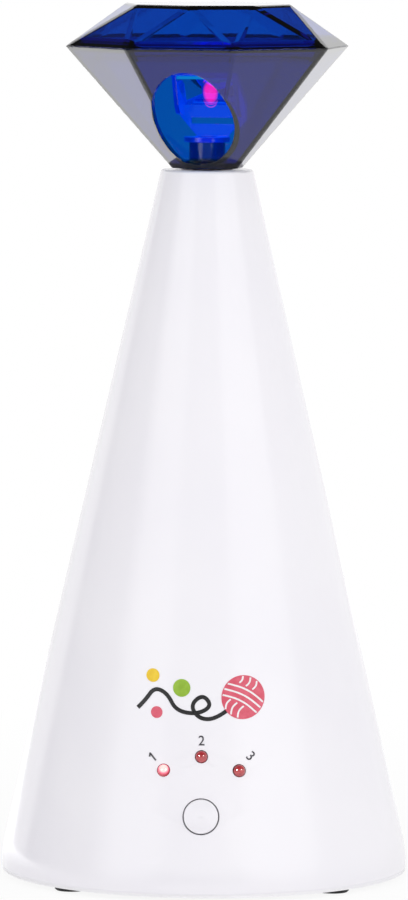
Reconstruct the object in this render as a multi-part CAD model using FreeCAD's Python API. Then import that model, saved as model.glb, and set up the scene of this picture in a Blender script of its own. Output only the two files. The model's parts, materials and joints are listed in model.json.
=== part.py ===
import FreeCAD, Part
import math
import os

from FreeCAD import Placement, Rotation, Vector

# An automatic laser toy for cats: a white cone that stands on rubber feet and
# carries a faceted blue gem, which a motor turns. A laser in the cone shines up
# the hollow spindle to a mirror in the gem, which throws the dot out of an oval
# window and round the room. One button picks one of three speeds.
# Millimetres, +Z up, the front is -Y, and the origin is the centre of the
# footprint, on the surface that the feet stand on. An azimuth is measured in
# degrees from the front, positive towards +X.

UP = Vector(0, 0, 1)

# ---- cone housing ----------------------------------------------------------------------
base_radius = 50.0
deck_radius = 11.3
foot_clearance = 1.2
base_rim = 0.8
skirt_top = 5.7
skirt_blend = 3.4
deck_height = 174.1
wall = 2.0
deck_edge_radius = 0.8
deck_boss_wall = 2.0
deck_boss_depth = 8.0

# ---- gem -------------------------------------------------------------------------------
gem_sides = 8
gem_turn = 11.5
gem_above_deck = 0.4
gem_bottom_radius = 8.86
pavilion_depth = 29.9
girdle_radius = 35.4
crown_depth = 10.3
table_radius = 20.7
gem_wall = 2.0
girdle_seam = 0.05
facet_edge = 0.12
girdle_edge = 0.15
lip_depth = 2.5
lip_wall = 1.3
lip_clearance = 0.1
window_azimuth = -11.0
window_width = 19.8
window_height = 23.1
window_rise = 12.6
window_floor_reach = 5.4
socket_radius = 4.45
socket_height = 6.4

# ---- mirror and its bracket ------------------------------------------------------------
mirror_rise = 18.5
mirror_tilt = 32.5
mirror_width = 13.4
mirror_length = 12.4
mirror_thickness = 1.0
bracket_wall = 1.1
bracket_clearance = 0.2
bracket_ring_radius = 5.7
bracket_ring_thickness = 1.2
bracket_front = 1.6
bracket_shoulder = 4.6
bracket_foot_width = 8.0
bracket_stay_front = 3.7
bracket_slot_height = 1.5
bracket_slot_margin = 1.5
bracket_slot_above_ring = 2.9
mirror_border = 0.3
cheek_toe = 2.0
cheek_toe_rise = 1.0
cheek_nose_rise = 3.0
beam_clearance = 0.3

# ---- spindle and its bushes ------------------------------------------------------------
spindle_radius = 3.5
beam_radius = 2.2
running_clearance = 0.05
axial_gap = 0.3
bush_wall = 1.2
bush_flange_overhang = 1.7
bush_flange_thickness = 0.5
bush_above_plate = 1.0

# ---- gear train ------------------------------------------------------------------------
gear_module = 0.5
pressure_angle = 20.0
pinion_teeth = 10
wheel_teeth = 38
spindle_gear_teeth = 50
pinion_shift = 0.42
addendum = 0.9
dedendum = 1.25
tooth_backlash = 0.1
flank_steps = (0.0, 0.35, 0.7, 1.0)
train_azimuth = 180.0
pinion_overrun = 0.2
upper_plate_radius = 26.0
plate_thickness = 2.0
plate_radius = 27.0
wheel_width = 3.0
level_gap = 1.0
spindle_gear_width = 3.5
spindle_hub_height = 1.2
spindle_hub_radius = 5.5
gear_hub_radius = 1.6
axle_radius = 0.75
seat_clearance = 0.2

# ---- chassis ---------------------------------------------------------------------------
pillar_offsets = (110.0, 180.0, 250.0)
locating_pillar_offset = 33.0
pillar_edge = 1.5
pillar_radius = 2.5
housing_boss_radius = 3.0
chassis_screw_radius = 1.2
chassis_screw_clearance = 0.3
chassis_screw_bite = 8.0
chassis_screw_head_radius = 2.4
chassis_screw_head_height = 1.6
spigot_radius = 1.4
spigot_clearance = 0.1
laser_holder_radius = 4.5
laser_holder_below = 6.0
cradle_wall = 1.5
cradle_width = 12.0
cradle_hook = 1.4
cradle_clearance = 0.1

# ---- motor and laser -------------------------------------------------------------------
motor_diameter = 20.1
motor_flat_width = 15.4
motor_length = 25.0
motor_cap_length = 4.5
motor_nose_radius = 3.1
motor_nose_height = 1.7
motor_shaft_radius = 1.0
motor_shaft_above = 6.5
terminal_length = 3.5
terminal_width = 2.4
terminal_thickness = 0.5
terminal_spacing = 12.0
laser_radius = 3.0
laser_length = 13.5
laser_aperture = 1.3
laser_lens_depth = 1.2
laser_lens_recess = 0.12
laser_lens_curve = 2.6
laser_below_spindle = 1.5

# ---- controls: places are right of and up the slope from the button --------------------
button_height = 20.5
button_hole_radius = 4.45
button_gap = 0.3
button_proud = 0.9
button_crown = 0.35
button_edge_radius = 0.4
button_flange_radius = 5.2
button_flange_thickness = 0.95
button_flange_gap = 0.65
button_travel = 0.5
button_stem_radius = 2.0
button_stem_length = 0.6
light_circle = 14.5
light_angles = (-39.0, 0.0, 39.0)
light_names = ("led_left", "led_middle", "led_right")
led_radius = 1.5
led_height = 5.3
led_flange_radius = 1.9
led_flange_thickness = 1.0
led_proud = 1.0
led_hole_clearance = 0.1
lead_width = 0.5
lead_pitch = 2.54
lead_tail = 1.0
board_depth = 8.5
board_thickness = 1.6
board_half_width = 16.0
board_below = 7.0
board_above = 21.0
board_corner = 2.0
board_screw_inset = 3.0
board_screw_radius = 0.9
board_screw_bite = 3.5
board_screw_clearance = 0.2
board_screw_head_radius = 1.9
board_screw_head_height = 1.2
board_boss_radius = 2.4
switch_width = 6.0
switch_height = 3.5
plunger_radius = 1.75
plunger_clearance = 0.06
plunger_inside = 1.0
chip_width = 5.0
chip_length = 8.6
chip_thickness = 1.6
chip_above_button = 3.0

# ---- base, battery bay and door --------------------------------------------------------
base_skin = 2.2
base_fit = 0.2
cell_count = 3
cell_radius = 7.1
cell_length = 50.5
cell_nub_radius = 2.6
cell_nub_height = 1.3
cell_pitch = 14.7
cell_clearance = 0.3
bay_wall = 1.6
bay_side_gap = 0.7
cell_edge = 0.5
spring_length = 4.9
contact_thickness = 0.5
contact_width = 9.0
contact_inset = 1.5
saddle_width = 3.0
saddle_spacing = 30.0
saddle_gap = 0.2
saddle_above_axis = 1.0
door_thickness = 2.0
door_gap = 0.3
door_ledge = 2.5
door_frame_wall = 3.0
door_frame_height = 1.3
hinge_knuckle_radius = 1.1
hinge_pin_radius = 0.7
hinge_pin_length = 1.6
hinge_clearance = 0.06
tongue_width = 3.4
tongue_thickness = 1.0
tongue_above_ledge = 2.2
tongue_gap = 0.3
tongue_bead = 0.4
tongue_bead_half = 0.5
tongue_bead_above_ledge = 1.0
thumb_radius = 5.0
base_screw_beside_foot = 15.0
base_screw_inset = 8.0
base_screw_radius = 1.4
base_screw_clearance = 0.2
base_screw_bite = 9.0
base_screw_head_radius = 2.7
base_screw_head_height = 1.3
base_screw_head_clearance = 0.3
base_screw_seat = 0.8
base_screw_ring = 1.0
base_boss_radius = 3.2
foot_radius = 4.0
foot_inset = 6.1
foot_beside_door = 6.82
foot_recess = 0.8
foot_edge = 0.4
spring_wire = 0.7
spring_turns = 3.0
spring_wide = 4.2
spring_narrow = 2.6

# ---- shares of a screw's own size, the same for every screw ----------------------------
screw_point_share = 0.6
screw_head_side_share = 0.5
screw_crown_share = 0.72

# ---- extra length that a blank or a cut runs past the piece ----------------------------
overrun = 1.0

# ---- worked out from the dimensions above ----------------------------------------------
taper = (base_radius - deck_radius) / (deck_height - skirt_top)
lean = math.degrees(math.atan(taper))
wall_across = wall / math.cos(math.radians(lean))
base_bottom = foot_clearance
skirt_bottom = base_bottom + base_rim
base_screw_circle = base_radius - base_screw_inset
foot_circle = base_radius - foot_inset
base_boss_merge = base_radius - wall_across - (base_screw_circle - base_boss_radius)
base_boss_top = skirt_top + base_boss_merge / taper + wall
gem_bottom = deck_height + gem_above_deck
girdle_height = gem_bottom + pavilion_depth
table_height = girdle_height + crown_depth
window_centre_height = gem_bottom + window_rise
mirror_centre_height = gem_bottom + mirror_rise
bay_half_width = cell_pitch * (cell_count - 1) / 2.0 + cell_radius + bay_side_gap
bay_half_length = (cell_length + spring_length) / 2.0 + contact_thickness
door_inner = base_bottom + door_thickness
ledge_bottom = base_bottom + 2.0 * hinge_knuckle_radius + door_gap
ledge_top = ledge_bottom + door_frame_height
cell_height = door_inner + cell_clearance + cell_radius
bay_roof = cell_height + cell_radius + cell_clearance
door_half_width = bay_half_width + door_ledge
door_half_length = bay_half_length + door_ledge - door_gap
foot_azimuth = math.degrees(math.asin((door_half_width + foot_beside_door) / foot_circle))
foot_azimuths = (foot_azimuth, 180.0 - foot_azimuth, 180.0 + foot_azimuth, 360.0 - foot_azimuth)
screw_azimuth = foot_azimuth + base_screw_beside_foot
base_screw_azimuths = (screw_azimuth, 180.0 - screw_azimuth, 180.0 + screw_azimuth, 360.0 - screw_azimuth)
hinge_y = door_half_length - hinge_knuckle_radius
hinge_z = base_bottom + hinge_knuckle_radius
bush_outer_radius = spindle_radius + running_clearance + bush_wall
bush_flange_radius = bush_outer_radius + bush_flange_overhang
bush_seat = deck_height - bush_flange_thickness
train_radius = gear_module * (spindle_gear_teeth + pinion_teeth) / 2.0
stage_distance = gear_module * (wheel_teeth + pinion_teeth) / 2.0
train_step = 2.0 * math.degrees(math.asin(stage_distance / 2.0 / train_radius))
second_azimuth = train_azimuth - train_step
motor_azimuth = train_azimuth + train_step
upper_plate_fit = base_radius - wall_across - seat_clearance - upper_plate_radius
upper_plate_top = skirt_top + upper_plate_fit / taper
upper_plate_height = upper_plate_top - plate_thickness
spindle_hub_top = upper_plate_height - bush_flange_thickness - axial_gap
spindle_bottom = spindle_hub_top - spindle_hub_height - spindle_gear_width
second_wheel_bottom = spindle_bottom - level_gap - wheel_width
first_wheel_bottom = second_wheel_bottom - level_gap - wheel_width
plate_height = first_wheel_bottom - level_gap - plate_thickness
pillar_circle = upper_plate_radius - pillar_edge - chassis_screw_radius - chassis_screw_clearance
laser_top = spindle_bottom - laser_below_spindle
spindle_top = gem_bottom + socket_height
ring_top = spindle_top + bracket_ring_thickness


# ---- small helpers ---------------------------------------------------------------------
def around(radius, azimuth, z):
    """A point at a distance from the axis, on an azimuth from the front."""
    turn = math.radians(azimuth)
    return Vector(radius * math.sin(turn), -radius * math.cos(turn), z)


def cylinder(radius, bottom, top, centre=Vector(0, 0, 0)):
    return Part.makeCylinder(radius, top - bottom, Vector(centre.x, centre.y, bottom))


def tube(outer, inner, bottom, top, centre=Vector(0, 0, 0)):
    return cylinder(outer, bottom, top, centre).cut(cylinder(inner, bottom, top, centre))


def block(half_x, half_y, bottom, top, x=0.0, y=0.0):
    corner = Vector(x - half_x, y - half_y, bottom)
    return Part.makeBox(2.0 * half_x, 2.0 * half_y, top - bottom, corner)


def rounded_block(half_x, half_y, bottom, top, corner):
    solid = block(half_x, half_y, bottom, top)
    upright = [edge for edge in solid.Edges if abs(edge.tangentAt(edge.FirstParameter).z) > 0.99]
    return solid.makeFillet(corner, upright)


def prism(points, thickness_vector):
    """A flat outline carried along a vector."""
    outline = Part.makePolygon(points + points[:1])
    return Part.Face(outline).extrude(thickness_vector)


def lathe(profile):
    """A closed (radius, height) profile turned about Z."""
    points = [Vector(radius, 0, z) for radius, z in profile]
    outline = Part.makePolygon(points + points[:1])
    return Part.Face(outline).revolve(Vector(0, 0, 0), UP, 360)


def circular_edges(solid, radius, z):
    """The round edges of a solid that have this radius and lie at this height."""
    found = []
    for edge in solid.Edges:
        if edge.Degenerated or not isinstance(edge.Curve, Part.Circle):
            continue
        if abs(edge.Curve.Radius - radius) < 1e-4 and abs(edge.Curve.Center.z - z) < 1e-4:
            found.append(edge)
    return found


def wall_radius(z):
    return base_radius - (z - skirt_top) * taper


def inner_radius(z):
    return wall_radius(z) - wall_across


def facing(azimuth, z=0.0):
    """Local X to the right, Y up and Z outward, on a vertical plane through the axis."""
    turn = math.radians(azimuth)
    right = Vector(math.cos(turn), math.sin(turn), 0)
    outward = around(1.0, azimuth, 0)
    return Placement(Vector(0, 0, z), Rotation(right, UP, outward, "ZYX"))


def on_wall():
    """Local X to the right, Y up the slope and Z straight out of the front wall."""
    place = Vector(0, -wall_radius(button_height), button_height)
    return Placement(place, Rotation(Vector(1, 0, 0), 90.0 - lean))


def placed(solid, placement):
    moved = solid.copy()
    moved.Placement = placement.multiply(solid.Placement)
    return moved


def wall_drop(right, up):
    """How far the curved wall falls away, inward, from the flat control frame."""
    radius = wall_radius(button_height + up * math.cos(math.radians(lean)))
    return (radius - math.sqrt(radius ** 2 - right ** 2)) * math.cos(math.radians(lean))


# ---- housing ---------------------------------------------------------------------------
def cone_shell():
    boss_bottom = deck_height - deck_boss_depth
    boss_radius = bush_outer_radius + deck_boss_wall
    deck_bottom = deck_height - wall
    shell = lathe([
        (base_radius - wall, skirt_bottom),
        (base_radius, skirt_bottom),
        (base_radius, skirt_top),
        (deck_radius, deck_height),
        (bush_flange_radius, deck_height),
        (bush_flange_radius, bush_seat),
        (bush_outer_radius, bush_seat),
        (bush_outer_radius, boss_bottom),
        (boss_radius, boss_bottom),
        (boss_radius, deck_bottom),
        (inner_radius(deck_bottom), deck_bottom),
        (base_radius - wall, skirt_top),
    ])
    blend_radius = skirt_blend / math.tan(math.radians(lean) / 2.0)
    shell = shell.makeFillet(blend_radius, circular_edges(shell, base_radius, skirt_top))
    return shell.makeFillet(deck_edge_radius, circular_edges(shell, deck_radius, deck_height))


def cone_core():
    """The space inside the housing, out to the middle of its wall, which trims what stands on the wall."""
    middle = wall_across / 2.0
    return lathe([(0, 0), (base_radius - middle, 0), (base_radius - middle, skirt_top),
                  (deck_radius - middle, deck_height), (0, deck_height)])


def board_screw_places():
    across = board_half_width - board_screw_inset
    low = board_screw_inset - board_below
    high = board_above - board_screw_inset
    return [(across, low), (-across, low), (across, high), (-across, high)]


def board_bosses():
    """Posts behind the front wall that the control board is screwed to."""
    posts = []
    for x, y in board_screw_places():
        post = cylinder(board_boss_radius, -board_depth, -wall / 2.0, Vector(x, y, 0))
        posts.append(placed(post, on_wall()))
    return posts


def chassis_bosses():
    """Posts that come down from the leaning wall to the gear chassis."""
    posts = []
    top = upper_plate_top + (2.0 * housing_boss_radius + seat_clearance) / taper
    for offset in pillar_offsets:
        posts.append(cylinder(housing_boss_radius, upper_plate_top, top, pillar_place(offset)))
    return posts


def base_bosses():
    """Posts down the wall that the base screws bite into."""
    floor = base_bottom + base_skin
    return [
        cylinder(base_boss_radius, floor, base_boss_top, around(base_screw_circle, azimuth, 0))
        for azimuth in base_screw_azimuths
    ]


def control_holes():
    holes = [cylinder(button_hole_radius, -2.0 * wall, wall)]
    for x, y in light_places():
        holes.append(cylinder(led_radius + led_hole_clearance, -3.0 * wall, wall, Vector(x, y, 0)))
    return [placed(hole, on_wall()) for hole in holes]


def board_pilot_holes():
    end = board_screw_bite - board_depth
    pilots = []
    for x, y in board_screw_places():
        pilot = cylinder(board_screw_radius, -board_depth, end, Vector(x, y, 0))
        pilots.append(placed(pilot, on_wall()))
    return pilots


def housing():
    posts = board_bosses() + chassis_bosses() + base_bosses()
    trimmed = [post.common(cone_core()) for post in posts]
    solid = cone_shell().fuse(trimmed)
    pilots = board_pilot_holes()
    for offset in pillar_offsets:
        end = upper_plate_top + chassis_screw_bite
        pilots.append(cylinder(chassis_screw_radius, upper_plate_top, end, pillar_place(offset)))
    floor = base_bottom + base_skin
    for azimuth in base_screw_azimuths:
        centre = around(base_screw_circle, azimuth, 0)
        pilots.append(cylinder(base_screw_radius, floor, floor + base_screw_bite, centre))
    return solid.cut(control_holes() + pilots).removeSplitter()


# ---- gem -------------------------------------------------------------------------------
def apothem(radius):
    return radius * math.cos(math.pi / gem_sides)


def facet_normal(azimuth, low, high):
    """Outward normal of a flat facet that rises from low to high, each (radius, height)."""
    run = low[0] - high[0]
    rise = high[1] - low[1]
    return around(rise, azimuth, run).normalize()


def beyond(normal, point, inset):
    """All the space on the outer side of a plane, which lies inset inside the point."""
    reach = 4.0 * girdle_radius
    slab = Part.makeBox(reach, reach, reach, Vector(-reach / 2.0, -reach / 2.0, 0))
    slab.Placement = Placement(point - normal * inset, Rotation(UP, normal))
    return slab


def pavilion_facets():
    """(normal, point) of each of the eight plain faces below the girdle."""
    bottom = (apothem(gem_bottom_radius), gem_bottom)
    side = (apothem(girdle_radius), girdle_height)
    facets = []
    for index in range(gem_sides):
        azimuth = gem_turn + (index + 0.5) * 360.0 / gem_sides
        facets.append((facet_normal(azimuth, bottom, side), around(side[0], azimuth, girdle_height)))
    return facets


def star_normal(azimuth):
    """Normal of a crown facet that rises from a corner of the girdle to a side of the table."""
    return facet_normal(azimuth, (girdle_radius, girdle_height), (apothem(table_radius), table_height))


def kite_normal(azimuth):
    """Normal of a crown facet that rises from a side of the girdle to a corner of the table."""
    return facet_normal(azimuth, (apothem(girdle_radius), girdle_height), (table_radius, table_height))


def gem_facets():
    """(normal, point) of every facet: table, bottom, the pavilion's, and sixteen above the girdle."""
    step = 360.0 / gem_sides
    facets = [(UP, Vector(0, 0, table_height)), (-UP, Vector(0, 0, gem_bottom))] + pavilion_facets()
    for index in range(gem_sides):
        corner = gem_turn + index * step
        side = corner + step / 2.0
        facets.append((kite_normal(side), around(apothem(girdle_radius), side, girdle_height)))
        facets.append((star_normal(corner), around(girdle_radius, corner, girdle_height)))
    return facets


def softened_edges():
    """(normal, point) of narrow flats along the ridges, because a moulded gem has no sharp ones."""
    step = 360.0 / gem_sides
    flats = []
    for index in range(gem_sides):
        corner = gem_turn + index * step
        side = corner + step / 2.0
        ridge = facet_normal(corner, (gem_bottom_radius, gem_bottom), (girdle_radius, girdle_height))
        flats.append((ridge, around(girdle_radius, corner, girdle_height)))
        flats.append((around(1, corner, 0), around(girdle_radius - girdle_edge, corner, girdle_height)))
        flats.append((around(1, side, 0), around(apothem(girdle_radius), side, girdle_height)))
        table_side = around(apothem(table_radius), corner, table_height)
        flats.append(((star_normal(corner) + UP).normalize(), table_side))
        for neighbour in (corner - step / 2.0, side):
            between = (kite_normal(neighbour) + star_normal(corner)).normalize()
            flats.append((between, around(table_radius, neighbour, table_height)))
    return flats


def carve(solid, planes, inset=0.0):
    """Grind flats on a solid one after another, each plane shifted inward by an inset."""
    for normal, point in planes:
        solid = solid.cut(beyond(normal, point, inset))
    return solid


def gem_solid(inset=0.0):
    """The whole gem as cut from a block by its facet planes, shrunk by an inset."""
    blank = block(2 * girdle_radius, 2 * girdle_radius, gem_bottom - overrun, table_height + overrun)
    return carve(blank, gem_facets(), inset)


def polished_gem():
    return carve(gem_solid(), softened_edges(), facet_edge)


def below(height):
    return block(2 * girdle_radius, 2 * girdle_radius, gem_bottom - overrun, height)


def side_slope():
    """How far the pavilion's faces lean from upright, in radians."""
    return math.atan((apothem(girdle_radius) - apothem(gem_bottom_radius)) / (girdle_height - gem_bottom))


def pavilion_reach(z, inset):
    """Distance from the axis to a pavilion face, shrunk by an inset, at a height."""
    outside = apothem(girdle_radius) - (girdle_height - z) * math.tan(side_slope())
    return outside - inset / math.cos(side_slope())


def octagon_frustum(low, bottom, high, top):
    """A solid with the girdle's outline, whose faces lie low and high from the axis at its two ends."""
    rings = []
    for reach, z in ((low, bottom), (high, top)):
        radius = reach / math.cos(math.pi / gem_sides)
        rings.append([around(radius, gem_turn + index * 360.0 / gem_sides, z) for index in range(gem_sides)])
    outlines = rings[:]
    for index in range(gem_sides):
        following = (index + 1) % gem_sides
        outlines.append([rings[0][index], rings[0][following], rings[1][following], rings[1][index]])
    faces = [Part.Face(Part.makePolygon(outline + outline[:1])) for outline in outlines]
    return Part.makeSolid(Part.makeShell(faces))


def window_cutter():
    """The oval opening that the beam leaves by, carried outward from beside the socket."""
    oval = Part.Ellipse(Vector(0, 0, 0), window_height / 2.0, window_width / 2.0).toShape()
    face = Part.Face(Part.Wire([oval]))
    face.rotate(Vector(0, 0, 0), UP, 90)
    face.translate(Vector(0, 0, window_floor_reach))
    return placed(face.extrude(UP * girdle_radius), facing(window_azimuth, window_centre_height))


def gem_pavilion():
    floor = gem_bottom + gem_wall
    hollow = octagon_frustum(pavilion_reach(floor, gem_wall), floor,
                             pavilion_reach(girdle_height, gem_wall), girdle_height)
    shell = polished_gem().common(below(girdle_height)).cut(hollow)
    socket = cylinder(socket_radius, gem_bottom, spindle_top)
    bore = cylinder(spindle_radius, gem_bottom, spindle_top)
    return shell.fuse(socket).cut([bore, window_cutter()]).removeSplitter()


def gem_crown():
    """The lid of the gem, a seam above the lower shell, with a lip that stands inside it."""
    lip_outer = gem_wall + lip_clearance
    lip_inner = lip_outer + lip_wall
    lip_end = girdle_height - lip_depth
    seam_top = girdle_height + girdle_seam
    throat = pavilion_reach(girdle_height, lip_inner)
    lip_reach = pavilion_reach(girdle_height, lip_outer)
    lip = octagon_frustum(pavilion_reach(lip_end, lip_outer), lip_end, lip_reach, girdle_height)
    lip = lip.cut(octagon_frustum(pavilion_reach(lip_end, lip_inner), lip_end, throat, girdle_height))
    neck = octagon_frustum(lip_reach, girdle_height, lip_reach, seam_top)
    neck = neck.cut(octagon_frustum(throat, girdle_height, throat, seam_top))
    hollow = gem_solid(gem_wall).common(octagon_frustum(throat, girdle_height, throat, table_height))
    lid = polished_gem().cut([below(seam_top), hollow])
    return lid.fuse([neck, lip]).removeSplitter()


# ---- mirror ----------------------------------------------------------------------------
def mirror_frame():
    """Local X across the mirror, Y up its slope, Z out of its shining face, which looks down and out."""
    level = facing(window_azimuth, mirror_centre_height)
    return level.multiply(Placement(Vector(0, 0, 0), Rotation(Vector(1, 0, 0), 90.0 - mirror_tilt)))


def mirror():
    plate = block(mirror_width / 2.0, mirror_length / 2.0, -mirror_thickness, 0)
    return placed(plate, mirror_frame())


def mirror_back_edges():
    """The lower and upper ends of the plane behind the mirror, as (outward, up) from its centre."""
    slope = math.radians(mirror_tilt)
    reach = mirror_length / 2.0 + mirror_border
    outward = mirror_thickness * math.sin(slope)
    up = mirror_thickness * math.cos(slope)
    rear = (-reach * math.cos(slope) - outward, -reach * math.sin(slope) + up)
    front = (reach * math.cos(slope) - outward, reach * math.sin(slope) + up)
    return rear, front


def mirror_bracket():
    """A hood that stands on the socket: foot ring, slotted back, two cheeks and a sloping roof."""
    half = mirror_width / 2.0 + bracket_clearance
    outer = half + bracket_wall
    rear, front = mirror_back_edges()
    foot = ring_top - mirror_centre_height
    back = rear[0] - bracket_wall
    lift = bracket_wall / math.cos(math.radians(mirror_tilt))
    roof = prism([Vector(-outer, rear[1], rear[0]), Vector(-outer, front[1], front[0]),
                  Vector(-outer, front[1] + lift, front[0]), Vector(-outer, rear[1] + lift, rear[0])],
                 Vector(2 * outer, 0, 0))
    shoulder = foot + bracket_shoulder
    half_foot = bracket_foot_width / 2.0
    panel = prism([Vector(-half_foot, foot, back), Vector(half_foot, foot, back),
                   Vector(outer, shoulder, back), Vector(outer, rear[1] + lift, back),
                   Vector(-outer, rear[1] + lift, back), Vector(-outer, shoulder, back)],
                  Vector(0, 0, bracket_wall))
    toe = (bracket_front - cheek_toe, shoulder + cheek_toe_rise)
    nose = (bracket_front, shoulder + cheek_nose_rise)
    cheek_outline = [(back, shoulder), toe, nose, front, (front[0], front[1] + lift),
                     (rear[0], rear[1] + lift), (back, rear[1] + lift)]
    cheeks = []
    for side in (-outer, half):
        points = [Vector(side, up, outward) for outward, up in cheek_outline]
        cheeks.append(prism(points, Vector(bracket_wall, 0, 0)))
    slot_bottom = foot + bracket_slot_above_ring
    slot_half = half - bracket_slot_margin
    slot = Part.makeBox(2 * slot_half, bracket_slot_height, 3 * bracket_wall,
                        Vector(-slot_half, slot_bottom, back - bracket_wall))
    hood = placed(roof.fuse([panel] + cheeks).cut(slot), facing(window_azimuth, mirror_centre_height))
    ring = cylinder(bracket_ring_radius, spindle_top, ring_top)
    stay = Part.makeBox(bracket_foot_width, bracket_ring_thickness, bracket_stay_front - back,
                        Vector(-half_foot, -bracket_ring_thickness, back))
    stay = placed(stay, facing(window_azimuth, ring_top))
    beam = cylinder(beam_radius + beam_clearance, spindle_top, ring_top)
    return hood.fuse([ring, stay]).cut(beam).removeSplitter()


# ---- spindle, bushes and laser ---------------------------------------------------------
def spindle():
    return tube(spindle_radius, beam_radius, spindle_bottom, spindle_top)


def flanged_bush(flange_bottom, body_bottom, body_top):
    bore = spindle_radius + running_clearance
    body = tube(bush_outer_radius, bore, body_bottom, body_top)
    flange = tube(bush_flange_radius, bore, flange_bottom, flange_bottom + bush_flange_thickness)
    return body.fuse(flange).removeSplitter()


def deck_bush():
    return flanged_bush(bush_seat, deck_height - deck_boss_depth, bush_seat)


def plate_bush():
    return flanged_bush(upper_plate_height - bush_flange_thickness, upper_plate_height,
                        upper_plate_top + bush_above_plate)


def laser_module():
    barrel = cylinder(laser_radius, laser_top - laser_length, laser_top)
    return barrel.cut(cylinder(laser_aperture, laser_top - laser_lens_depth, laser_top))


def laser_lens():
    bottom = laser_top - laser_lens_depth
    ball = Part.makeSphere(laser_lens_curve, Vector(0, 0, laser_top - laser_lens_recess - laser_lens_curve))
    return ball.common(cylinder(laser_aperture, bottom, laser_top))


# ---- gears -----------------------------------------------------------------------------
def involute(angle):
    return math.tan(angle) - angle


def gear_sizes(teeth, shift):
    pitch = gear_module * teeth / 2.0
    tip = pitch + gear_module * (addendum + shift)
    root = pitch - gear_module * (dedendum - shift)
    return pitch, tip, root


def half_tooth_angle(radius, teeth, shift):
    """Half the angle that a tooth spans at a radius, on its involute."""
    pitch, tip, root = gear_sizes(teeth, shift)
    pressure = math.radians(pressure_angle)
    base = pitch * math.cos(pressure)
    thickness = gear_module * (math.pi / 2.0 + 2.0 * shift * math.tan(pressure)) - tooth_backlash / 2.0
    at_radius = math.acos(min(1.0, base / radius))
    return thickness / (2.0 * pitch) + involute(pressure) - involute(at_radius)


def gear_outline(teeth, shift, phase):
    """Corners of a spur gear: involute flanks in short chords, straight below the base circle."""
    pitch, tip, root = gear_sizes(teeth, shift)
    base = pitch * math.cos(math.radians(pressure_angle))
    start = max(base, root)
    radii = [root] + [start + (tip - start) * step for step in flank_steps]
    if start == root:
        radii = radii[1:]
    corners = []
    for index in range(teeth):
        middle = math.radians(phase) + 2.0 * math.pi * index / teeth
        halves = [half_tooth_angle(max(radius, base), teeth, shift) for radius in radii]
        rising = [(radius, middle - half) for radius, half in zip(radii, halves)]
        falling = [(radius, middle + half) for radius, half in zip(reversed(radii), reversed(halves))]
        corners += rising + falling
    return [Vector(radius * math.cos(angle), radius * math.sin(angle), 0) for radius, angle in corners]


def gear(teeth, shift, centre, phase, bottom, top):
    wheel = prism(gear_outline(teeth, shift, phase), UP * (top - bottom))
    wheel.translate(Vector(centre.x, centre.y, bottom))
    return wheel


def bearing(start, end):
    """Direction from one centre to another, in degrees anticlockwise from +X."""
    return math.degrees(math.atan2(end.y - start.y, end.x - start.x))


axis_centre = Vector(0, 0, 0)
first_centre = around(train_radius, train_azimuth, 0)
second_centre = around(train_radius, second_azimuth, 0)
motor_centre = around(train_radius, motor_azimuth, 0)
half_pitch = 180.0 / pinion_teeth


def spindle_gear():
    """The last gear, pressed on the spindle. A tooth points at the second gear's axle."""
    top = spindle_bottom + spindle_gear_width
    wheel = gear(spindle_gear_teeth, -pinion_shift, axis_centre, bearing(axis_centre, second_centre),
                 spindle_bottom, top)
    hub = cylinder(spindle_hub_radius, top, spindle_hub_top)
    bore = cylinder(spindle_radius, spindle_bottom, spindle_hub_top)
    return wheel.fuse(hub).cut(bore)


def compound_gear(centre, wheel_bottom, pinion_top, wheel_phase, pinion_phase):
    """A wheel and a pinion in one moulding, with a hub that spans the chassis plates."""
    wheel_top = wheel_bottom + wheel_width
    hub_bottom = plate_height + plate_thickness + axial_gap
    hub_top = upper_plate_height - axial_gap
    wheel = gear(wheel_teeth, -pinion_shift, centre, wheel_phase, wheel_bottom, wheel_top)
    pinion = gear(pinion_teeth, pinion_shift, centre, pinion_phase, wheel_top, pinion_top)
    hub = cylinder(gear_hub_radius, hub_bottom, hub_top, centre)
    bore = cylinder(axle_radius + running_clearance, hub_bottom, hub_top, centre)
    return wheel.fuse([pinion, hub]).cut(bore)


def second_gear():
    pinion_top = spindle_bottom + spindle_gear_width + pinion_overrun
    wheel_phase = bearing(second_centre, first_centre)
    pinion_phase = bearing(second_centre, axis_centre) + half_pitch
    return compound_gear(second_centre, second_wheel_bottom, pinion_top, wheel_phase, pinion_phase)


def first_gear():
    pinion_top = second_wheel_bottom + wheel_width + pinion_overrun
    wheel_phase = bearing(first_centre, motor_centre)
    pinion_phase = bearing(first_centre, second_centre) + half_pitch
    return compound_gear(first_centre, first_wheel_bottom, pinion_top, wheel_phase, pinion_phase)


def motor_pinion():
    phase = bearing(motor_centre, first_centre) + half_pitch
    bottom = first_wheel_bottom - pinion_overrun
    top = first_wheel_bottom + wheel_width + pinion_overrun
    pinion = gear(pinion_teeth, pinion_shift, motor_centre, phase, bottom, top)
    return pinion.cut(cylinder(motor_shaft_radius, bottom, top, motor_centre))


def gear_axle(centre):
    return cylinder(axle_radius, plate_height, upper_plate_top, centre)


# ---- chassis and motor -----------------------------------------------------------------
def pillar_place(offset):
    return around(pillar_circle, train_azimuth + offset, 0)


def motor_cradle():
    """Two arms that hang from the plate along the motor's flats and hook under its end."""
    bottom = plate_height - motor_length - cradle_hook
    inside = motor_flat_width / 2.0 + cradle_clearance
    arms = []
    outline = [(inside, plate_height), (inside + cradle_wall, plate_height), (inside + cradle_wall, bottom),
               (inside, bottom), (inside - cradle_hook, bottom + cradle_hook),
               (inside, bottom + cradle_hook)]
    for side in (1.0, -1.0):
        points = [Vector(-cradle_width / 2.0, height, side * reach + train_radius)
                  for reach, height in outline]
        arms.append(placed(prism(points, Vector(cradle_width, 0, 0)), facing(motor_azimuth)))
    return arms


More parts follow.
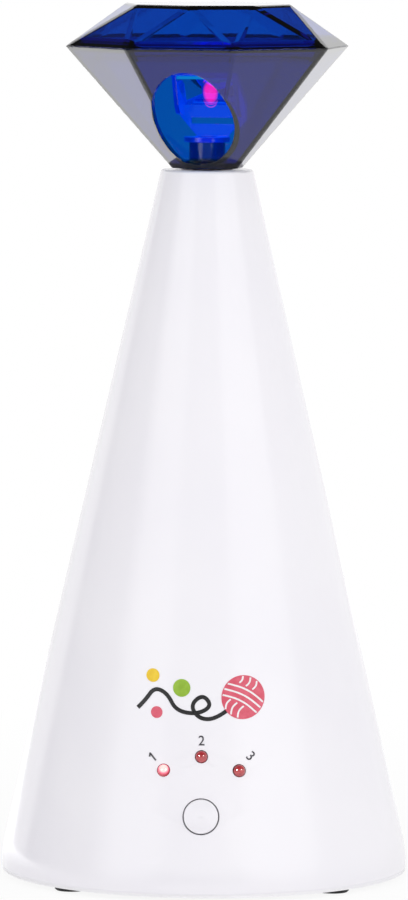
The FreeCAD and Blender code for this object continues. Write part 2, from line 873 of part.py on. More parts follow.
def chassis_plate():
    """The gear chassis: plate, pillars, laser holder and motor cradle in one moulding."""
    top = plate_height + plate_thickness
    body = [cylinder(pillar_radius, plate_height, upper_plate_height, pillar_place(offset))
            for offset in pillar_offsets + (locating_pillar_offset,)]
    locating = pillar_place(locating_pillar_offset)
    body.append(cylinder(spigot_radius, upper_plate_height, upper_plate_top, locating))
    body.append(cylinder(laser_holder_radius, plate_height - laser_holder_below, laser_top))
    body += motor_cradle()
    holes = [cylinder(chassis_screw_radius + chassis_screw_clearance, plate_height, upper_plate_height,
                      pillar_place(offset)) for offset in pillar_offsets]
    holes.append(cylinder(laser_radius, plate_height - laser_holder_below, laser_top))
    holes.append(cylinder(motor_nose_radius + spigot_clearance, plate_height, top, motor_centre))
    holes += [cylinder(axle_radius, plate_height, top, centre) for centre in (first_centre, second_centre)]
    return cylinder(plate_radius, plate_height, top).fuse(body).cut(holes).removeSplitter()


def upper_plate():
    """The lid of the chassis. Its rim has the cone's taper and seats in it."""
    low = inner_radius(upper_plate_height) - seat_clearance
    plate = Part.makeCone(low, upper_plate_radius, plate_thickness, Vector(0, 0, upper_plate_height))
    holes = [cylinder(bush_outer_radius, upper_plate_height, upper_plate_top)]
    holes += [cylinder(axle_radius, upper_plate_height, upper_plate_top, centre)
              for centre in (first_centre, second_centre)]
    holes += [cylinder(chassis_screw_radius + chassis_screw_clearance, upper_plate_height, upper_plate_top,
                       pillar_place(offset)) for offset in pillar_offsets]
    holes.append(cylinder(spigot_radius + spigot_clearance, upper_plate_height, upper_plate_top,
                          pillar_place(locating_pillar_offset)))
    return plate.cut(holes)


def screw(radius, head_radius, head_height, seat, tip, centre):
    """A pan-head screw that points up from a seat, or down where its tip is lower."""
    direction = 1.0 if tip > seat else -1.0
    crown = seat - direction * head_height
    side = seat - direction * screw_head_side_share * head_height
    profile = [(0, tip), (screw_point_share * radius, tip), (radius, tip - direction * radius),
               (radius, seat), (head_radius, seat), (head_radius, side),
               (screw_crown_share * head_radius, crown), (0, crown)]
    solid = lathe(profile)
    solid.translate(Vector(centre.x, centre.y, 0))
    return solid


def chassis_screws():
    tip = upper_plate_top + chassis_screw_bite
    return Part.makeCompound([
        screw(chassis_screw_radius, chassis_screw_head_radius, chassis_screw_head_height, plate_height, tip,
              pillar_place(offset)) for offset in pillar_offsets
    ])


def motor_section(bottom, top):
    """The motor's round can with two flats, turned so that the flats face the axis."""
    can = cylinder(motor_diameter / 2.0, bottom, top)
    flats = block(motor_diameter, motor_flat_width / 2.0, bottom, top)
    section = can.common(flats)
    section.rotate(Vector(0, 0, 0), UP, motor_azimuth)
    section.translate(motor_centre)
    return section


def motor_case():
    bottom = plate_height - motor_length + motor_cap_length
    nose_top = plate_height + motor_nose_height
    nose = cylinder(motor_nose_radius, plate_height, nose_top, motor_centre)
    bore = cylinder(motor_shaft_radius + running_clearance, bottom, nose_top, motor_centre)
    return motor_section(bottom, plate_height).fuse(nose).cut(bore).removeSplitter()


def motor_end_cap():
    """The plastic end of the motor with its two soldering tabs."""
    bottom = plate_height - motor_length
    cap = motor_section(bottom, bottom + motor_cap_length)
    tabs = []
    for side in (-1.0, 1.0):
        tab = block(terminal_thickness / 2.0, terminal_width / 2.0, bottom - terminal_length, bottom,
                    side * terminal_spacing / 2.0)
        tab.rotate(Vector(0, 0, 0), UP, motor_azimuth)
        tab.translate(motor_centre)
        tabs.append(tab)
    return cap.fuse(tabs).removeSplitter()


def motor_shaft():
    bottom = plate_height - motor_length + motor_cap_length + axial_gap
    return cylinder(motor_shaft_radius, bottom, plate_height + motor_shaft_above, motor_centre)


# ---- controls --------------------------------------------------------------------------
def light_places():
    return [(light_circle * math.sin(math.radians(angle)), light_circle * math.cos(math.radians(angle)))
            for angle in light_angles]


def stem_end():
    return -(wall + button_flange_gap + button_flange_thickness + button_stem_length)


def mode_button():
    """A domed cap with a flange that keeps it behind the wall and a stem that presses the switch."""
    radius = button_hole_radius - button_gap
    flange_front = -wall - button_flange_gap
    flange_back = flange_front - button_flange_thickness
    dome = (radius ** 2 + button_crown ** 2) / (2.0 * button_crown)
    shoulder = radius - button_edge_radius
    shoulder_height = button_proud - dome + math.sqrt(dome ** 2 - shoulder ** 2)
    half_way = Vector(shoulder / 2.0, 0, button_proud - dome + math.sqrt(dome ** 2 - shoulder ** 2 / 4.0))
    corner = button_edge_radius * (1.0 - math.sqrt(0.5))
    edge_top = Vector(shoulder, 0, shoulder_height)
    edge_middle = Vector(radius - corner, 0, shoulder_height - corner)
    edge_bottom = Vector(radius, 0, shoulder_height - button_edge_radius)
    arcs = [Part.Arc(Vector(0, 0, button_proud), half_way, edge_top),
            Part.Arc(edge_top, edge_middle, edge_bottom)]
    side = [(radius, edge_bottom.z), (radius, flange_front), (button_flange_radius, flange_front),
            (button_flange_radius, flange_back), (button_stem_radius, flange_back),
            (button_stem_radius, stem_end()), (0, stem_end()), (0, button_proud)]
    outline = [arc.toShape() for arc in arcs] + Part.makePolygon([Vector(x, 0, z) for x, z in side]).Edges
    return placed(Part.Face(Part.Wire(outline)).revolve(Vector(0, 0, 0), UP, 360), on_wall())


def tact_switch():
    top = switch_height - board_depth
    body = block(switch_width / 2.0, switch_width / 2.0, -board_depth, top)
    well = cylinder(plunger_radius + plunger_clearance, top - plunger_inside - 2.0 * button_travel, top)
    return placed(body.cut(well), on_wall())


def switch_plunger():
    top = switch_height - board_depth
    return placed(cylinder(plunger_radius, top - plunger_inside, stem_end()), on_wall())


def led(right, up):
    """A round 3 mm lamp: domed lens, flange and two leads into the board."""
    top = led_proud - wall_drop(right, up)
    base = top - led_height
    lens = lathe([(0, top), (led_radius, top), (led_radius, base + led_flange_thickness),
                  (led_flange_radius, base + led_flange_thickness), (led_flange_radius, base), (0, base)])
    dome = Part.makeSphere(led_radius, Vector(0, 0, top - led_radius))
    lens = lens.common(dome.fuse(cylinder(led_flange_radius, base, top - led_radius)))
    tail = -board_depth - board_thickness - lead_tail
    half_lead = lead_width / 2.0
    leads = [block(half_lead, half_lead, tail, base, side * lead_pitch / 2.0) for side in (-1.0, 1.0)]
    lamp = lens.fuse(leads).removeSplitter()
    lamp.translate(Vector(right, up, 0))
    return placed(lamp, on_wall())


def control_board():
    back = -board_depth - board_thickness
    half_height = (board_above + board_below) / 2.0
    board = rounded_block(board_half_width, half_height, back, -board_depth, board_corner)
    board.translate(Vector(0, (board_above - board_below) / 2.0, 0))
    screw_hole = board_screw_radius + board_screw_clearance
    holes = [cylinder(screw_hole, back, -board_depth, Vector(x, y, 0)) for x, y in board_screw_places()]
    half_lead = lead_width / 2.0
    for x, y in light_places():
        for side in (-1.0, 1.0):
            holes.append(block(half_lead, half_lead, back, -board_depth, x + side * lead_pitch / 2.0, y))
    return placed(board.cut(holes), on_wall())


def control_chip():
    back = -board_depth - board_thickness
    chip = block(chip_length / 2.0, chip_width / 2.0, back - chip_thickness, back, 0, chip_above_button)
    return placed(chip, on_wall())


def board_screws():
    seat = -board_depth - board_thickness
    screws = [screw(board_screw_radius, board_screw_head_radius, board_screw_head_height, seat,
                    board_screw_bite - board_depth, Vector(x, y, 0)) for x, y in board_screw_places()]
    return Part.makeCompound([placed(item, on_wall()) for item in screws])


# ---- base ------------------------------------------------------------------------------
def cell_places():
    """(x, direction) of each cell; neighbours lie head to tail. Direction is where the nub points."""
    start = -(cell_count - 1) / 2.0
    return [((start + index) * cell_pitch, 1.0 if index % 2 else -1.0) for index in range(cell_count)]


def battery_bay():
    """The box of the battery bay, its ledge and the round saddles that the cells lie in."""
    roof_top = bay_roof + bay_wall
    outside = block(bay_half_width + bay_wall, bay_half_length + bay_wall, ledge_bottom, roof_top)
    frame = block(door_half_width + door_frame_wall, door_half_length + door_frame_wall,
                  base_bottom, ledge_top)
    inside = block(bay_half_width, bay_half_length, base_bottom, bay_roof)
    return outside.fuse(frame), inside


def saddles():
    bottom = cell_height + saddle_above_axis
    ribs = [block(bay_half_width, saddle_width / 2.0, bottom, bay_roof, 0, side * saddle_spacing / 2.0)
            for side in (-1.0, 1.0)]
    hollows = [Part.makeCylinder(cell_radius + saddle_gap, 2.0 * bay_half_length,
                                 Vector(x, -bay_half_length, cell_height), Vector(0, 1, 0))
               for x, direction in cell_places()]
    return [rib.cut(hollows) for rib in ribs]


def hinge_hole(side):
    length = hinge_pin_length + door_gap
    start = Vector(side * door_half_width, hinge_y, hinge_z)
    return Part.makeCylinder(hinge_pin_radius + hinge_clearance, length, start, Vector(side, 0, 0))


def base_plate():
    """The moulded base: rim, skin, battery bay with its door recess, screw holes and foot recesses."""
    floor = base_bottom + base_skin
    rim = cylinder(base_radius - base_fit, base_bottom, skirt_bottom)
    skin = cylinder(base_radius - wall - base_fit, base_bottom, floor)
    bay, inside = battery_bay()
    recess = block(door_half_width + door_gap, door_half_length + door_gap, base_bottom, ledge_bottom)
    thumb = cylinder(thumb_radius, base_bottom, ledge_bottom, Vector(0, -door_half_length, 0))
    cuts = [inside, recess, thumb, hinge_hole(-1.0), hinge_hole(1.0)]
    washers = []
    head_well = base_screw_head_radius + base_screw_head_clearance
    for azimuth in base_screw_azimuths:
        centre = around(base_screw_circle, azimuth, 0)
        washers.append(cylinder(head_well + base_screw_ring, base_bottom, floor, centre))
        cuts.append(cylinder(base_screw_radius + base_screw_clearance, base_bottom, floor, centre))
        cuts.append(cylinder(head_well, base_bottom, floor - base_screw_seat, centre))
    for azimuth in foot_azimuths:
        centre = around(foot_circle, azimuth, 0)
        cuts.append(cylinder(foot_radius, base_bottom, base_bottom + foot_recess, centre))
    return rim.fuse([skin, bay] + washers).cut(cuts).fuse(saddles()).removeSplitter()


def battery_door():
    """A flat cover with a rounded hinge edge, two hinge pins and two snap tongues between the cells."""
    plate = block(door_half_width, (door_half_length + hinge_y) / 2.0, base_bottom, door_inner,
                  0, (hinge_y - door_half_length) / 2.0)
    knuckle = Part.makeCylinder(hinge_knuckle_radius, 2.0 * door_half_width,
                                Vector(-door_half_width, hinge_y, hinge_z), Vector(1, 0, 0))
    pins = Part.makeCylinder(hinge_pin_radius, 2.0 * (door_half_width + hinge_pin_length),
                             Vector(-door_half_width - hinge_pin_length, hinge_y, hinge_z), Vector(1, 0, 0))
    back = -bay_half_length + tongue_gap + tongue_bead
    top = ledge_top + tongue_above_ledge
    bead = ledge_top + tongue_bead_above_ledge
    profile = [(back, door_inner), (back, bead - tongue_bead_half), (back - tongue_bead, bead),
               (back, bead + tongue_bead_half), (back, top), (back + tongue_thickness, top),
               (back + tongue_thickness, door_inner)]
    tongues = []
    for middle in (-cell_pitch / 2.0, cell_pitch / 2.0):
        points = [Vector(middle - tongue_width / 2.0, y, z) for y, z in profile]
        tongues.append(prism(points, Vector(tongue_width, 0, 0)))
    return plate.fuse([knuckle, pins] + tongues).removeSplitter()


def battery_cells():
    cells = []
    body = cell_length - cell_nub_height
    end_radius = cell_radius - cell_edge
    profile = [(0, 0), (end_radius, 0), (cell_radius, cell_edge), (cell_radius, body - cell_edge),
               (end_radius, body), (cell_nub_radius, body), (cell_nub_radius, cell_length), (0, cell_length)]
    for x, direction in cell_places():
        nub_y = direction * (bay_half_length - contact_thickness)
        cell = lathe(profile)
        turn = Rotation(Vector(1, 0, 0), -90.0 * direction)
        cells.append(placed(cell, Placement(Vector(x, nub_y - direction * cell_length, cell_height), turn)))
    return Part.makeCompound(cells)


def battery_contacts():
    """Flat plates on both ends of the bay, one for each end of each cell."""
    half_height = cell_radius - contact_inset
    plates = []
    for x, direction in cell_places():
        for side in (-1.0, 1.0):
            y = side * (bay_half_length - contact_thickness / 2.0)
            plates.append(block(contact_width / 2.0, contact_thickness / 2.0, cell_height - half_height,
                                cell_height + half_height, x, y))
    return Part.makeCompound(plates)


def coil_spring():
    """A tapered coil of square wire, wide at its foot, standing on Z = 0."""
    rise = spring_length - spring_wire
    angle = math.degrees(math.atan((spring_wide - spring_narrow) / rise))
    path = Part.makeHelix(rise / spring_turns, rise, spring_wide, -angle)
    half = spring_wire / 2.0
    inner = spring_wide - half
    outer = spring_wide + half
    section = Part.makePolygon([Vector(inner, 0, -half), Vector(outer, 0, -half), Vector(outer, 0, half),
                                Vector(inner, 0, half), Vector(inner, 0, -half)])
    coil = Part.Wire(path.Edges).makePipeShell([section], True, True)
    coil.translate(Vector(0, 0, half))
    return coil


def battery_springs():
    springs = []
    for x, direction in cell_places():
        foot_y = -direction * (bay_half_length - contact_thickness)
        turn = Rotation(Vector(1, 0, 0), -90.0 * direction)
        springs.append(placed(coil_spring(), Placement(Vector(x, foot_y, cell_height), turn)))
    return Part.makeCompound(springs)


def rubber_feet():
    feet = []
    for azimuth in foot_azimuths:
        foot = cylinder(foot_radius, 0, base_bottom + foot_recess, around(foot_circle, azimuth, 0))
        feet.append(foot.makeChamfer(foot_edge, circular_edges(foot, foot_radius, 0)))
    return Part.makeCompound(feet)


def base_screws():
    seat = base_bottom + base_skin - base_screw_seat
    tip = base_bottom + base_skin + base_screw_bite
    return Part.makeCompound([
        screw(base_screw_radius, base_screw_head_radius, base_screw_head_height, seat, tip,
              around(base_screw_circle, azimuth, 0)) for azimuth in base_screw_azimuths
    ])


# ---- the pieces, each written to its own file ------------------------------------------
def pieces():
    made = {
        "cone_housing": housing(),
        "base_plate": base_plate(),
        "battery_door": battery_door(),
        "battery_cells": battery_cells(),
        "battery_contacts": battery_contacts(),
        "battery_springs": battery_springs(),
        "rubber_feet": rubber_feet(),
        "base_screws": base_screws(),
        "mode_button": mode_button(),
        "switch_plunger": switch_plunger(),
        "tact_switch": tact_switch(),
        "control_board": control_board(),
        "control_chip": control_chip(),
        "board_screws": board_screws(),
        "chassis_plate": chassis_plate(),
        "upper_plate": upper_plate(),
        "chassis_screws": chassis_screws(),
        "motor_case": motor_case(),
        "motor_end_cap": motor_end_cap(),
        "motor_shaft": motor_shaft(),
        "motor_pinion": motor_pinion(),
        "first_gear": first_gear(),
        "first_axle": gear_axle(first_centre),
        "second_gear": second_gear(),
        "second_axle": gear_axle(second_centre),
        "spindle_gear": spindle_gear(),
        "spindle": spindle(),
        "plate_bush": plate_bush(),
        "deck_bush": deck_bush(),
        "laser_module": laser_module(),
        "laser_lens": laser_lens(),
        "gem_pavilion": gem_pavilion(),
        "gem_crown": gem_crown(),
        "mirror_bracket": mirror_bracket(),
        "mirror": mirror(),
    }
    for name, (right, up) in zip(light_names, light_places()):
        made[name] = led(right, up)
    return made


os.makedirs("parts", exist_ok=True)
for name, shape in pieces().items():
    shape.exportStep("parts/" + name + ".step")
    print(name, len(shape.Solids), "solids", round(shape.Volume, 1), "mm3")
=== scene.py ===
# %% [markdown]
# # An automatic laser toy for cats
# The toy is a glossy white cone with a clear blue gem that turns on top of it. This lesson dresses
# a finished set of solid pieces: it gives every piece its real finish, adds the printed figures,
# and sets up the light and the camera. The solids are already at their real size and place, so
# nothing here moves or resizes them.

# %% Load the solids
import bpy
import json
import math
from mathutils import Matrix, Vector


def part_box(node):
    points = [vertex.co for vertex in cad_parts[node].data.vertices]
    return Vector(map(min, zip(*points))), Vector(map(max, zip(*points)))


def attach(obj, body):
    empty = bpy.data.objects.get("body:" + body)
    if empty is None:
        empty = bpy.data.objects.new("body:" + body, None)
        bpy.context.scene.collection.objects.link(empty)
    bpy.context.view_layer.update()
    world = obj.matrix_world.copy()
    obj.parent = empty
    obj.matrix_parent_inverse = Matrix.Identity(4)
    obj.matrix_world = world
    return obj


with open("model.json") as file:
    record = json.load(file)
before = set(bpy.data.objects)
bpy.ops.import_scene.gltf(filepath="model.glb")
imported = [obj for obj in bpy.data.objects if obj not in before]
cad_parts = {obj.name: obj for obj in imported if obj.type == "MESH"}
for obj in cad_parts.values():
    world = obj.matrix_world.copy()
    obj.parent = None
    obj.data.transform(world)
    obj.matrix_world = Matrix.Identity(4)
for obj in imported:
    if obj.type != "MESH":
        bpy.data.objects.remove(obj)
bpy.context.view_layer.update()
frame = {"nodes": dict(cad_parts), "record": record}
MM = 0.001
bpy.ops.object.select_all(action="DESELECT")

# %% [markdown]
# ## Colours and nodes
# A paint maker writes a colour as it looks on a screen. The renderer adds up light, so it wants
# the same colour in linear numbers. One function does that for every colour below. Another adds a
# node with its settings and its links, because a finish is a chain of nodes. A third starts a
# finish, with the shader that every one of them ends in.

# %% Helpers for every finish


def linear(code):
    """A colour written as #rrggbb, as linear red, green, blue and alpha."""
    channels = [int(code[index:index + 2], 16) / 255 for index in (1, 3, 5)]
    return [c / 12.92 if c <= 0.04045 else ((c + 0.055) / 1.055) ** 2.4 for c in channels] + [1.0]


def add_node(tree, kind, links=None, **settings):
    """Adds a node. A setting is one of its own properties or the value of the socket of that name."""
    node = tree.nodes.new(kind)
    for name, value in settings.items():
        if hasattr(node, name):
            setattr(node, name, value)
        else:
            node.inputs[name.replace("_", " ")].default_value = value
    for socket, source in (links or {}).items():
        tree.links.new(source, node.inputs[socket])
    return node


def new_finish(name, **sockets):
    """A material with one Principled shader, whose plain values sit on the shader's own sockets."""
    material = bpy.data.materials.new(name)
    material.use_nodes = True
    tree = material.node_tree
    tree.nodes.clear()
    shader = add_node(tree, "ShaderNodeBsdfPrincipled")
    for socket, value in sockets.items():
        shader.inputs[socket.replace("_", " ")].default_value = value
    add_node(tree, "ShaderNodeOutputMaterial", {"Surface": shader.outputs[0]})
    return material, tree, shader


print("white is", [round(c, 3) for c in linear("#f4f3f6")])

# %% [markdown]
# ## Grain, ripple and tone
# Moulded plastic is never quite even. Its colour drifts a little, its gloss is patchy, and its
# skin has a ripple or a grain from the tool. Three helpers give those to any shader, each with the
# size of its pattern in millimetres. Noise is the right texture, because a tool's wear has no rule,
# and object coordinates keep it fixed to the piece. A fourth helper draws the lines of turned metal.

# %% Patterns sized in millimetres


def vary_gloss(tree, shader, size_mm, low, high):
    """Roughness drifts between low and high."""
    place = add_node(tree, "ShaderNodeTexCoord").outputs["Object"]
    blotch = add_node(tree, "ShaderNodeTexNoise", {"Vector": place}, Scale=1.0 / (size_mm * MM))
    level = add_node(tree, "ShaderNodeMapRange", {"Value": blotch.outputs[0]},
                     From_Min=0.35, From_Max=0.65, To_Min=low, To_Max=high)
    tree.links.new(level.outputs[0], shader.inputs["Roughness"])


def vary_tone(tree, shader, size_mm, first, second):
    """The colour drifts between two tones."""
    place = add_node(tree, "ShaderNodeTexCoord").outputs["Object"]
    blotch = add_node(tree, "ShaderNodeTexNoise", {"Vector": place}, Scale=1.0 / (size_mm * MM))
    tone = add_node(tree, "ShaderNodeValToRGB", {"Fac": blotch.outputs[0]})
    tone.color_ramp.elements[0].position = 0.35
    tone.color_ramp.elements[0].color = linear(first)
    tone.color_ramp.elements[1].position = 0.65
    tone.color_ramp.elements[1].color = linear(second)
    tree.links.new(tone.outputs[0], shader.inputs["Base Color"])


def add_relief(tree, shader, size_mm, depth_mm, strength=1.0):
    """A bump of noise, depth_mm deep."""
    place = add_node(tree, "ShaderNodeTexCoord").outputs["Object"]
    blotch = add_node(tree, "ShaderNodeTexNoise", {"Vector": place}, Scale=1.0 / (size_mm * MM), Detail=3.0)
    relief = add_node(tree, "ShaderNodeBump", {"Height": blotch.outputs[0]},
                      Strength=strength, Distance=depth_mm * MM)
    if shader.inputs["Normal"].links:
        tree.links.new(shader.inputs["Normal"].links[0].from_socket, relief.inputs["Normal"])
    tree.links.new(relief.outputs[0], shader.inputs["Normal"])


def brush(tree, shader, across_mm, along_mm, depth_mm):
    """Fine lines along Z, as turning or drawing leaves them."""
    place = add_node(tree, "ShaderNodeTexCoord").outputs["Object"]
    stretched = add_node(tree, "ShaderNodeMapping", {"Vector": place},
                         Scale=(1.0, 1.0, across_mm / along_mm))
    lines = add_node(tree, "ShaderNodeTexNoise", {"Vector": stretched.outputs[0]},
                     Scale=1.0 / (across_mm * MM), Detail=3.0)
    relief = add_node(tree, "ShaderNodeBump", {"Height": lines.outputs[0]}, Distance=depth_mm * MM)
    tree.links.new(relief.outputs[0], shader.inputs["Normal"])


print("patterns ready")

# %% [markdown]
# ## White ABS, polished and grained
# The cone is ABS, injection moulded in a polished tool: it is opaque white with a faint violet
# cast, it mirrors the studio softly, and large flat areas ripple by a few hundredths of a
# millimetre. The button comes from the same plastic. The base and the battery door are moulded
# with a fine spark-eroded grain, so that scratches don't show.

# %% White plastics


def glossy_white_abs():
    """Polished ABS: a clear soft mirror image that ripples a little."""
    material, tree, shader = new_finish("glossy_white_abs", IOR=1.53, Coat_Weight=0.0)
    vary_tone(tree, shader, 35, "#f2f0f6", "#f5f3f8")
    vary_gloss(tree, shader, 18, 0.13, 0.19)
    add_relief(tree, shader, 14, 0.03, 0.5)
    return material


def grained_white_abs():
    """Grained ABS: the same white without a mirror image."""
    material, tree, shader = new_finish("grained_white_abs", IOR=1.53)
    vary_tone(tree, shader, 20, "#f2f1f4", "#f7f6f9")
    vary_gloss(tree, shader, 2, 0.42, 0.55)
    add_relief(tree, shader, 0.35, 0.02)  # real grain is nearer 0.1 mm, drawn coarser so that it shows
    return material


print("white plastics:", glossy_white_abs.__name__, grained_white_abs.__name__)

# %% [markdown]
# ## Glow
# Two things make light of their own here: the laser, whose spot is painted on the mirror as a glow,
# and the one lamp that is lit. Glows are also painted where no lamp is: arcs that are painted
# reflections of the beam, a painted red glow on the gem's lower wall and a painted flat blue glow on
# the bracket. A glow is brightest at a point and fades outwards. So the distance from that point
# picks its colour, measured in an egg of three half sizes, because a spot is seldom round. Where
# several glows meet, their light adds up.

# %% Glows that fade from a point


def fade_from(tree, centre_mm, half_sizes_mm):
    """0 at a point, 1 on an egg round it that has the given half sizes, and 1 beyond it."""
    scale = [1.0 / (size * MM) for size in half_sizes_mm]
    shift = [-centre / size for centre, size in zip(centre_mm, half_sizes_mm)]
    place = add_node(tree, "ShaderNodeTexCoord").outputs["Object"]
    local = add_node(tree, "ShaderNodeMapping", {"Vector": place}, Location=shift, Scale=scale)
    distance = add_node(tree, "ShaderNodeVectorMath", {0: local.outputs[0]}, operation="LENGTH")
    clamped = add_node(tree, "ShaderNodeMath", {0: distance.outputs["Value"]}, operation="MINIMUM")
    clamped.inputs[1].default_value = 1.0
    return clamped.outputs[0]


def glow_at(tree, centre_mm, half_sizes_mm, stops):
    """The colour of a glow round a point, by stops of distance and colour."""
    tone = add_node(tree, "ShaderNodeValToRGB", {"Fac": fade_from(tree, centre_mm, half_sizes_mm)})
    elements = tone.color_ramp.elements
    elements[0].position, elements[1].position = stops[0][0], stops[-1][0]
    elements[0].color, elements[1].color = linear(stops[0][1]), linear(stops[-1][1])
    for position, colour in stops[1:-1]:
        elements.new(position).color = linear(colour)
    return tone.outputs[0]


def shine(tree, shader, *glows):
    """Adds the glows up as the shader's emission, at a strength of 1."""
    total = glows[0]
    for another in glows[1:]:
        total = add_node(tree, "ShaderNodeVectorMath", {0: total, 1: another}, operation="ADD").outputs[0]
    tree.links.new(total, shader.inputs["Emission Color"])
    shader.inputs["Emission Strength"].default_value = 1.0


print("glows ready")

# %% [markdown]
# ## Mirror
# The little mirror is glass, silvered behind. The laser beam comes up the hollow spindle and meets
# the mirror near its middle. Its tall spot there, magenta at the core and red round it, is painted
# on the mirror as a glow that stands for the laser's light. Thin arcs below and above the spot are
# painted reflections of the beam's light. An arc is the lower or the upper half of a ring, so a
# ring is made, and a mask by height keeps one half of it.

# %% The spot of the beam and its arcs
low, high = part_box("mirror")
BEAM_SPOT = (low + high) / 2 / MM + Vector((0.7, 0, -0.4))
BEAM_DEPTH_MM = 30.0     # the glow runs through the plate, so it is long from front to back
BEAM_CORE = (1.9, BEAM_DEPTH_MM, 3.3)
# how far each painted arc lies above the spot's middle, and its half width
PAINTED_REFLECTION_ARCS = ((-3.3, 1.9), (-4.0, 1.6), (3.6, 1.9))
ARC_HALF_HEIGHT_MM = 1.5
ARC_MIDDLE_MM = 1.4      # from the arc to the middle of its ring
MASK_OUT_MM, MASK_IN_MM = 0.7, 0.1


def half_ring(tree, centre_mm, half_sizes_mm, stops, towards):
    """The half of a ring that lies below its middle, or above it where towards is -1."""
    ring = glow_at(tree, centre_mm, half_sizes_mm, stops)
    place = add_node(tree, "ShaderNodeTexCoord").outputs["Object"]
    height = add_node(tree, "ShaderNodeSeparateXYZ", {"Vector": place}).outputs["Z"]
    middle = centre_mm[2] * MM
    mask_out = middle - towards * MASK_OUT_MM * MM
    mask_in = middle - towards * MASK_IN_MM * MM
    mask = add_node(tree, "ShaderNodeMapRange", {"Value": height}, From_Min=mask_out, From_Max=mask_in,
                    To_Min=1.0, To_Max=0.0)
    return add_node(tree, "ShaderNodeVectorMath", {0: ring, "Scale": mask.outputs[0]},
                    operation="SCALE").outputs[0]


def painted_beam_glows(tree, core, rim, rest):
    """Painted glow of the beam: its tall spot and its painted arcs, in the colours of its core and rim."""
    spot = glow_at(tree, BEAM_SPOT, BEAM_CORE, ((0.0, core), (0.62, core), (0.86, rim), (1.0, rest)))
    ring = ((0.0, "#000000"), (0.78, "#000000"), (0.88, rim), (1.0, "#000000"))
    arcs = []
    for rise_mm, half_width_mm in PAINTED_REFLECTION_ARCS:
        towards = 1.0 if rise_mm < 0 else -1.0
        middle = BEAM_SPOT + Vector((0, 0, rise_mm + towards * ARC_MIDDLE_MM))
        sizes = (half_width_mm, BEAM_DEPTH_MM, ARC_HALF_HEIGHT_MM)
        arcs.append(half_ring(tree, middle, sizes, ring, towards))
    return [spot] + arcs


print("beam spot, mm:", [round(c, 1) for c in BEAM_SPOT])

# %% The mirror's finish


def silvered_glass():
    """A nearly perfect mirror, a little cool, whose glass is flat to a few microns."""
    material, tree, shader = new_finish("silvered_glass", Base_Color=linear("#dfe6f2"), Metallic=1.0,
                                        Roughness=0.03)
    add_relief(tree, shader, 3, 0.004, 0.3)
    # the beam's spot is painted on as a glow, and its arcs as painted reflections
    shine(tree, shader, *painted_beam_glows(tree, "#f00048", "#b40a28", "#000000"))
    return material


# %% [markdown]
# ## Clear blue polystyrene
# The gem is crystal polystyrene, dyed blue through and polished. Light bends a lot in it (index
# 1.59) and it takes out red first, then green, so a thin wall is a blue-grey and two or three
# walls behind each other are deep blue. That is why the colour belongs to the depth of the
# plastic, in a volume, and not to its skin.

# %% Dyed clear plastic
EDGE_ROUND_MM = 0.35   # polishing rounds each edge, which then catches a line of light


def dyed_clear(name, tint, density, roughness):
    """Clear plastic whose colour comes from the depth that the light goes through."""
    material, tree, shader = new_finish(name, Base_Color=linear("#ffffff"), IOR=1.59,
                                        Transmission_Weight=1.0, Roughness=roughness)
    rounded = add_node(tree, "ShaderNodeBevel", Radius=EDGE_ROUND_MM * MM, samples=6)
    tree.links.new(rounded.outputs[0], shader.inputs["Normal"])
    add_relief(tree, shader, 9, 0.02, 0.35)
    dye = add_node(tree, "ShaderNodeVolumeAbsorption", Color=linear(tint), Density=density)
    out = [node for node in tree.nodes if node.type == "OUTPUT_MATERIAL"][0]
    tree.links.new(dye.outputs[0], out.inputs["Volume"])
    return material, tree, shader


print("edges rounded by", EDGE_ROUND_MM, "mm")

# %% Finishes of the gem


def crown_blue():
    """The upper shell, a clear deep blue."""
    return dyed_clear("blue_clear_polystyrene", "#00e1f7", 2500.0, 0.0)[0]


def pavilion_blue():
    """The lower shell, a smokier blue, with a dim red painted glow of the beam on its wall."""
    material, tree, shader = dyed_clear("smoky_blue_polystyrene", "#00cbee", 3000.0, 0.0)
    shine(tree, shader, *painted_beam_glows(tree, "#5c0420", "#400410", "#000000"))
    return material


def bracket_blue():
    """The bracket is the same plastic, thin, with a painted flat blue glow and a painted glow of the beam.
    """
    material, tree, shader = dyed_clear("blue_polystyrene_painted_glow", "#00d8f8", 2500.0, 0.02)
    shine(tree, shader, *painted_beam_glows(tree, "#fa0038", "#c00c2c", "#002080"))
    return material


def clear_hub():
    """The spindle's end in the gem is all but colourless, and it pipes light like a glass rod."""
    return dyed_clear("pale_clear_polystyrene", "#b4c4ee", 260.0, 0.02)[0]


def laser_lens_clear():
    """The laser's pressed lens is clear acrylic with a rosy coating."""
    return dyed_clear("laser_lens_acrylic", "#ffe0e8", 60.0, 0.0)[0]


print("gem finishes ready")

# %% [markdown]
# ## Lamps
# The lamps are 3 mm diodes in diffused red epoxy. Unlit, the red is dark and looks deep, because
# light scatters inside it, and its smooth dome mirrors each studio lamp as a small bright dot. The
# one that shows the running speed glows from a chip behind its dome, so it is white hot at the
# middle and pink at its rim.

# %% Lamp finishes


def red_epoxy(name):
    """Cast epoxy: a smooth coat over a red body that lets light in a little way."""
    material, tree, shader = new_finish(name, IOR=1.54, Roughness=0.08, Coat_Weight=1.0,
                                        Coat_IOR=1.5, Subsurface_Weight=0.2, Subsurface_Scale=0.8 * MM)
    vary_tone(tree, shader, 1.2, "#ac343a", "#c8464a")
    return material, tree, shader


print("lamps ready")

# %% Lit and unlit lamps
CHIP_DEPTH_MM = 0.2      # behind the lamp's foremost point
CHIP_DROP_MM = 0.65      # under the lamp's top
GLOW_REACH_MM = 2.6
GLOW_STOPS = ((0.0, "#fff4ee"), (0.36, "#ffe4dc"), (0.52, "#d86088"), (0.66, "#701028"))

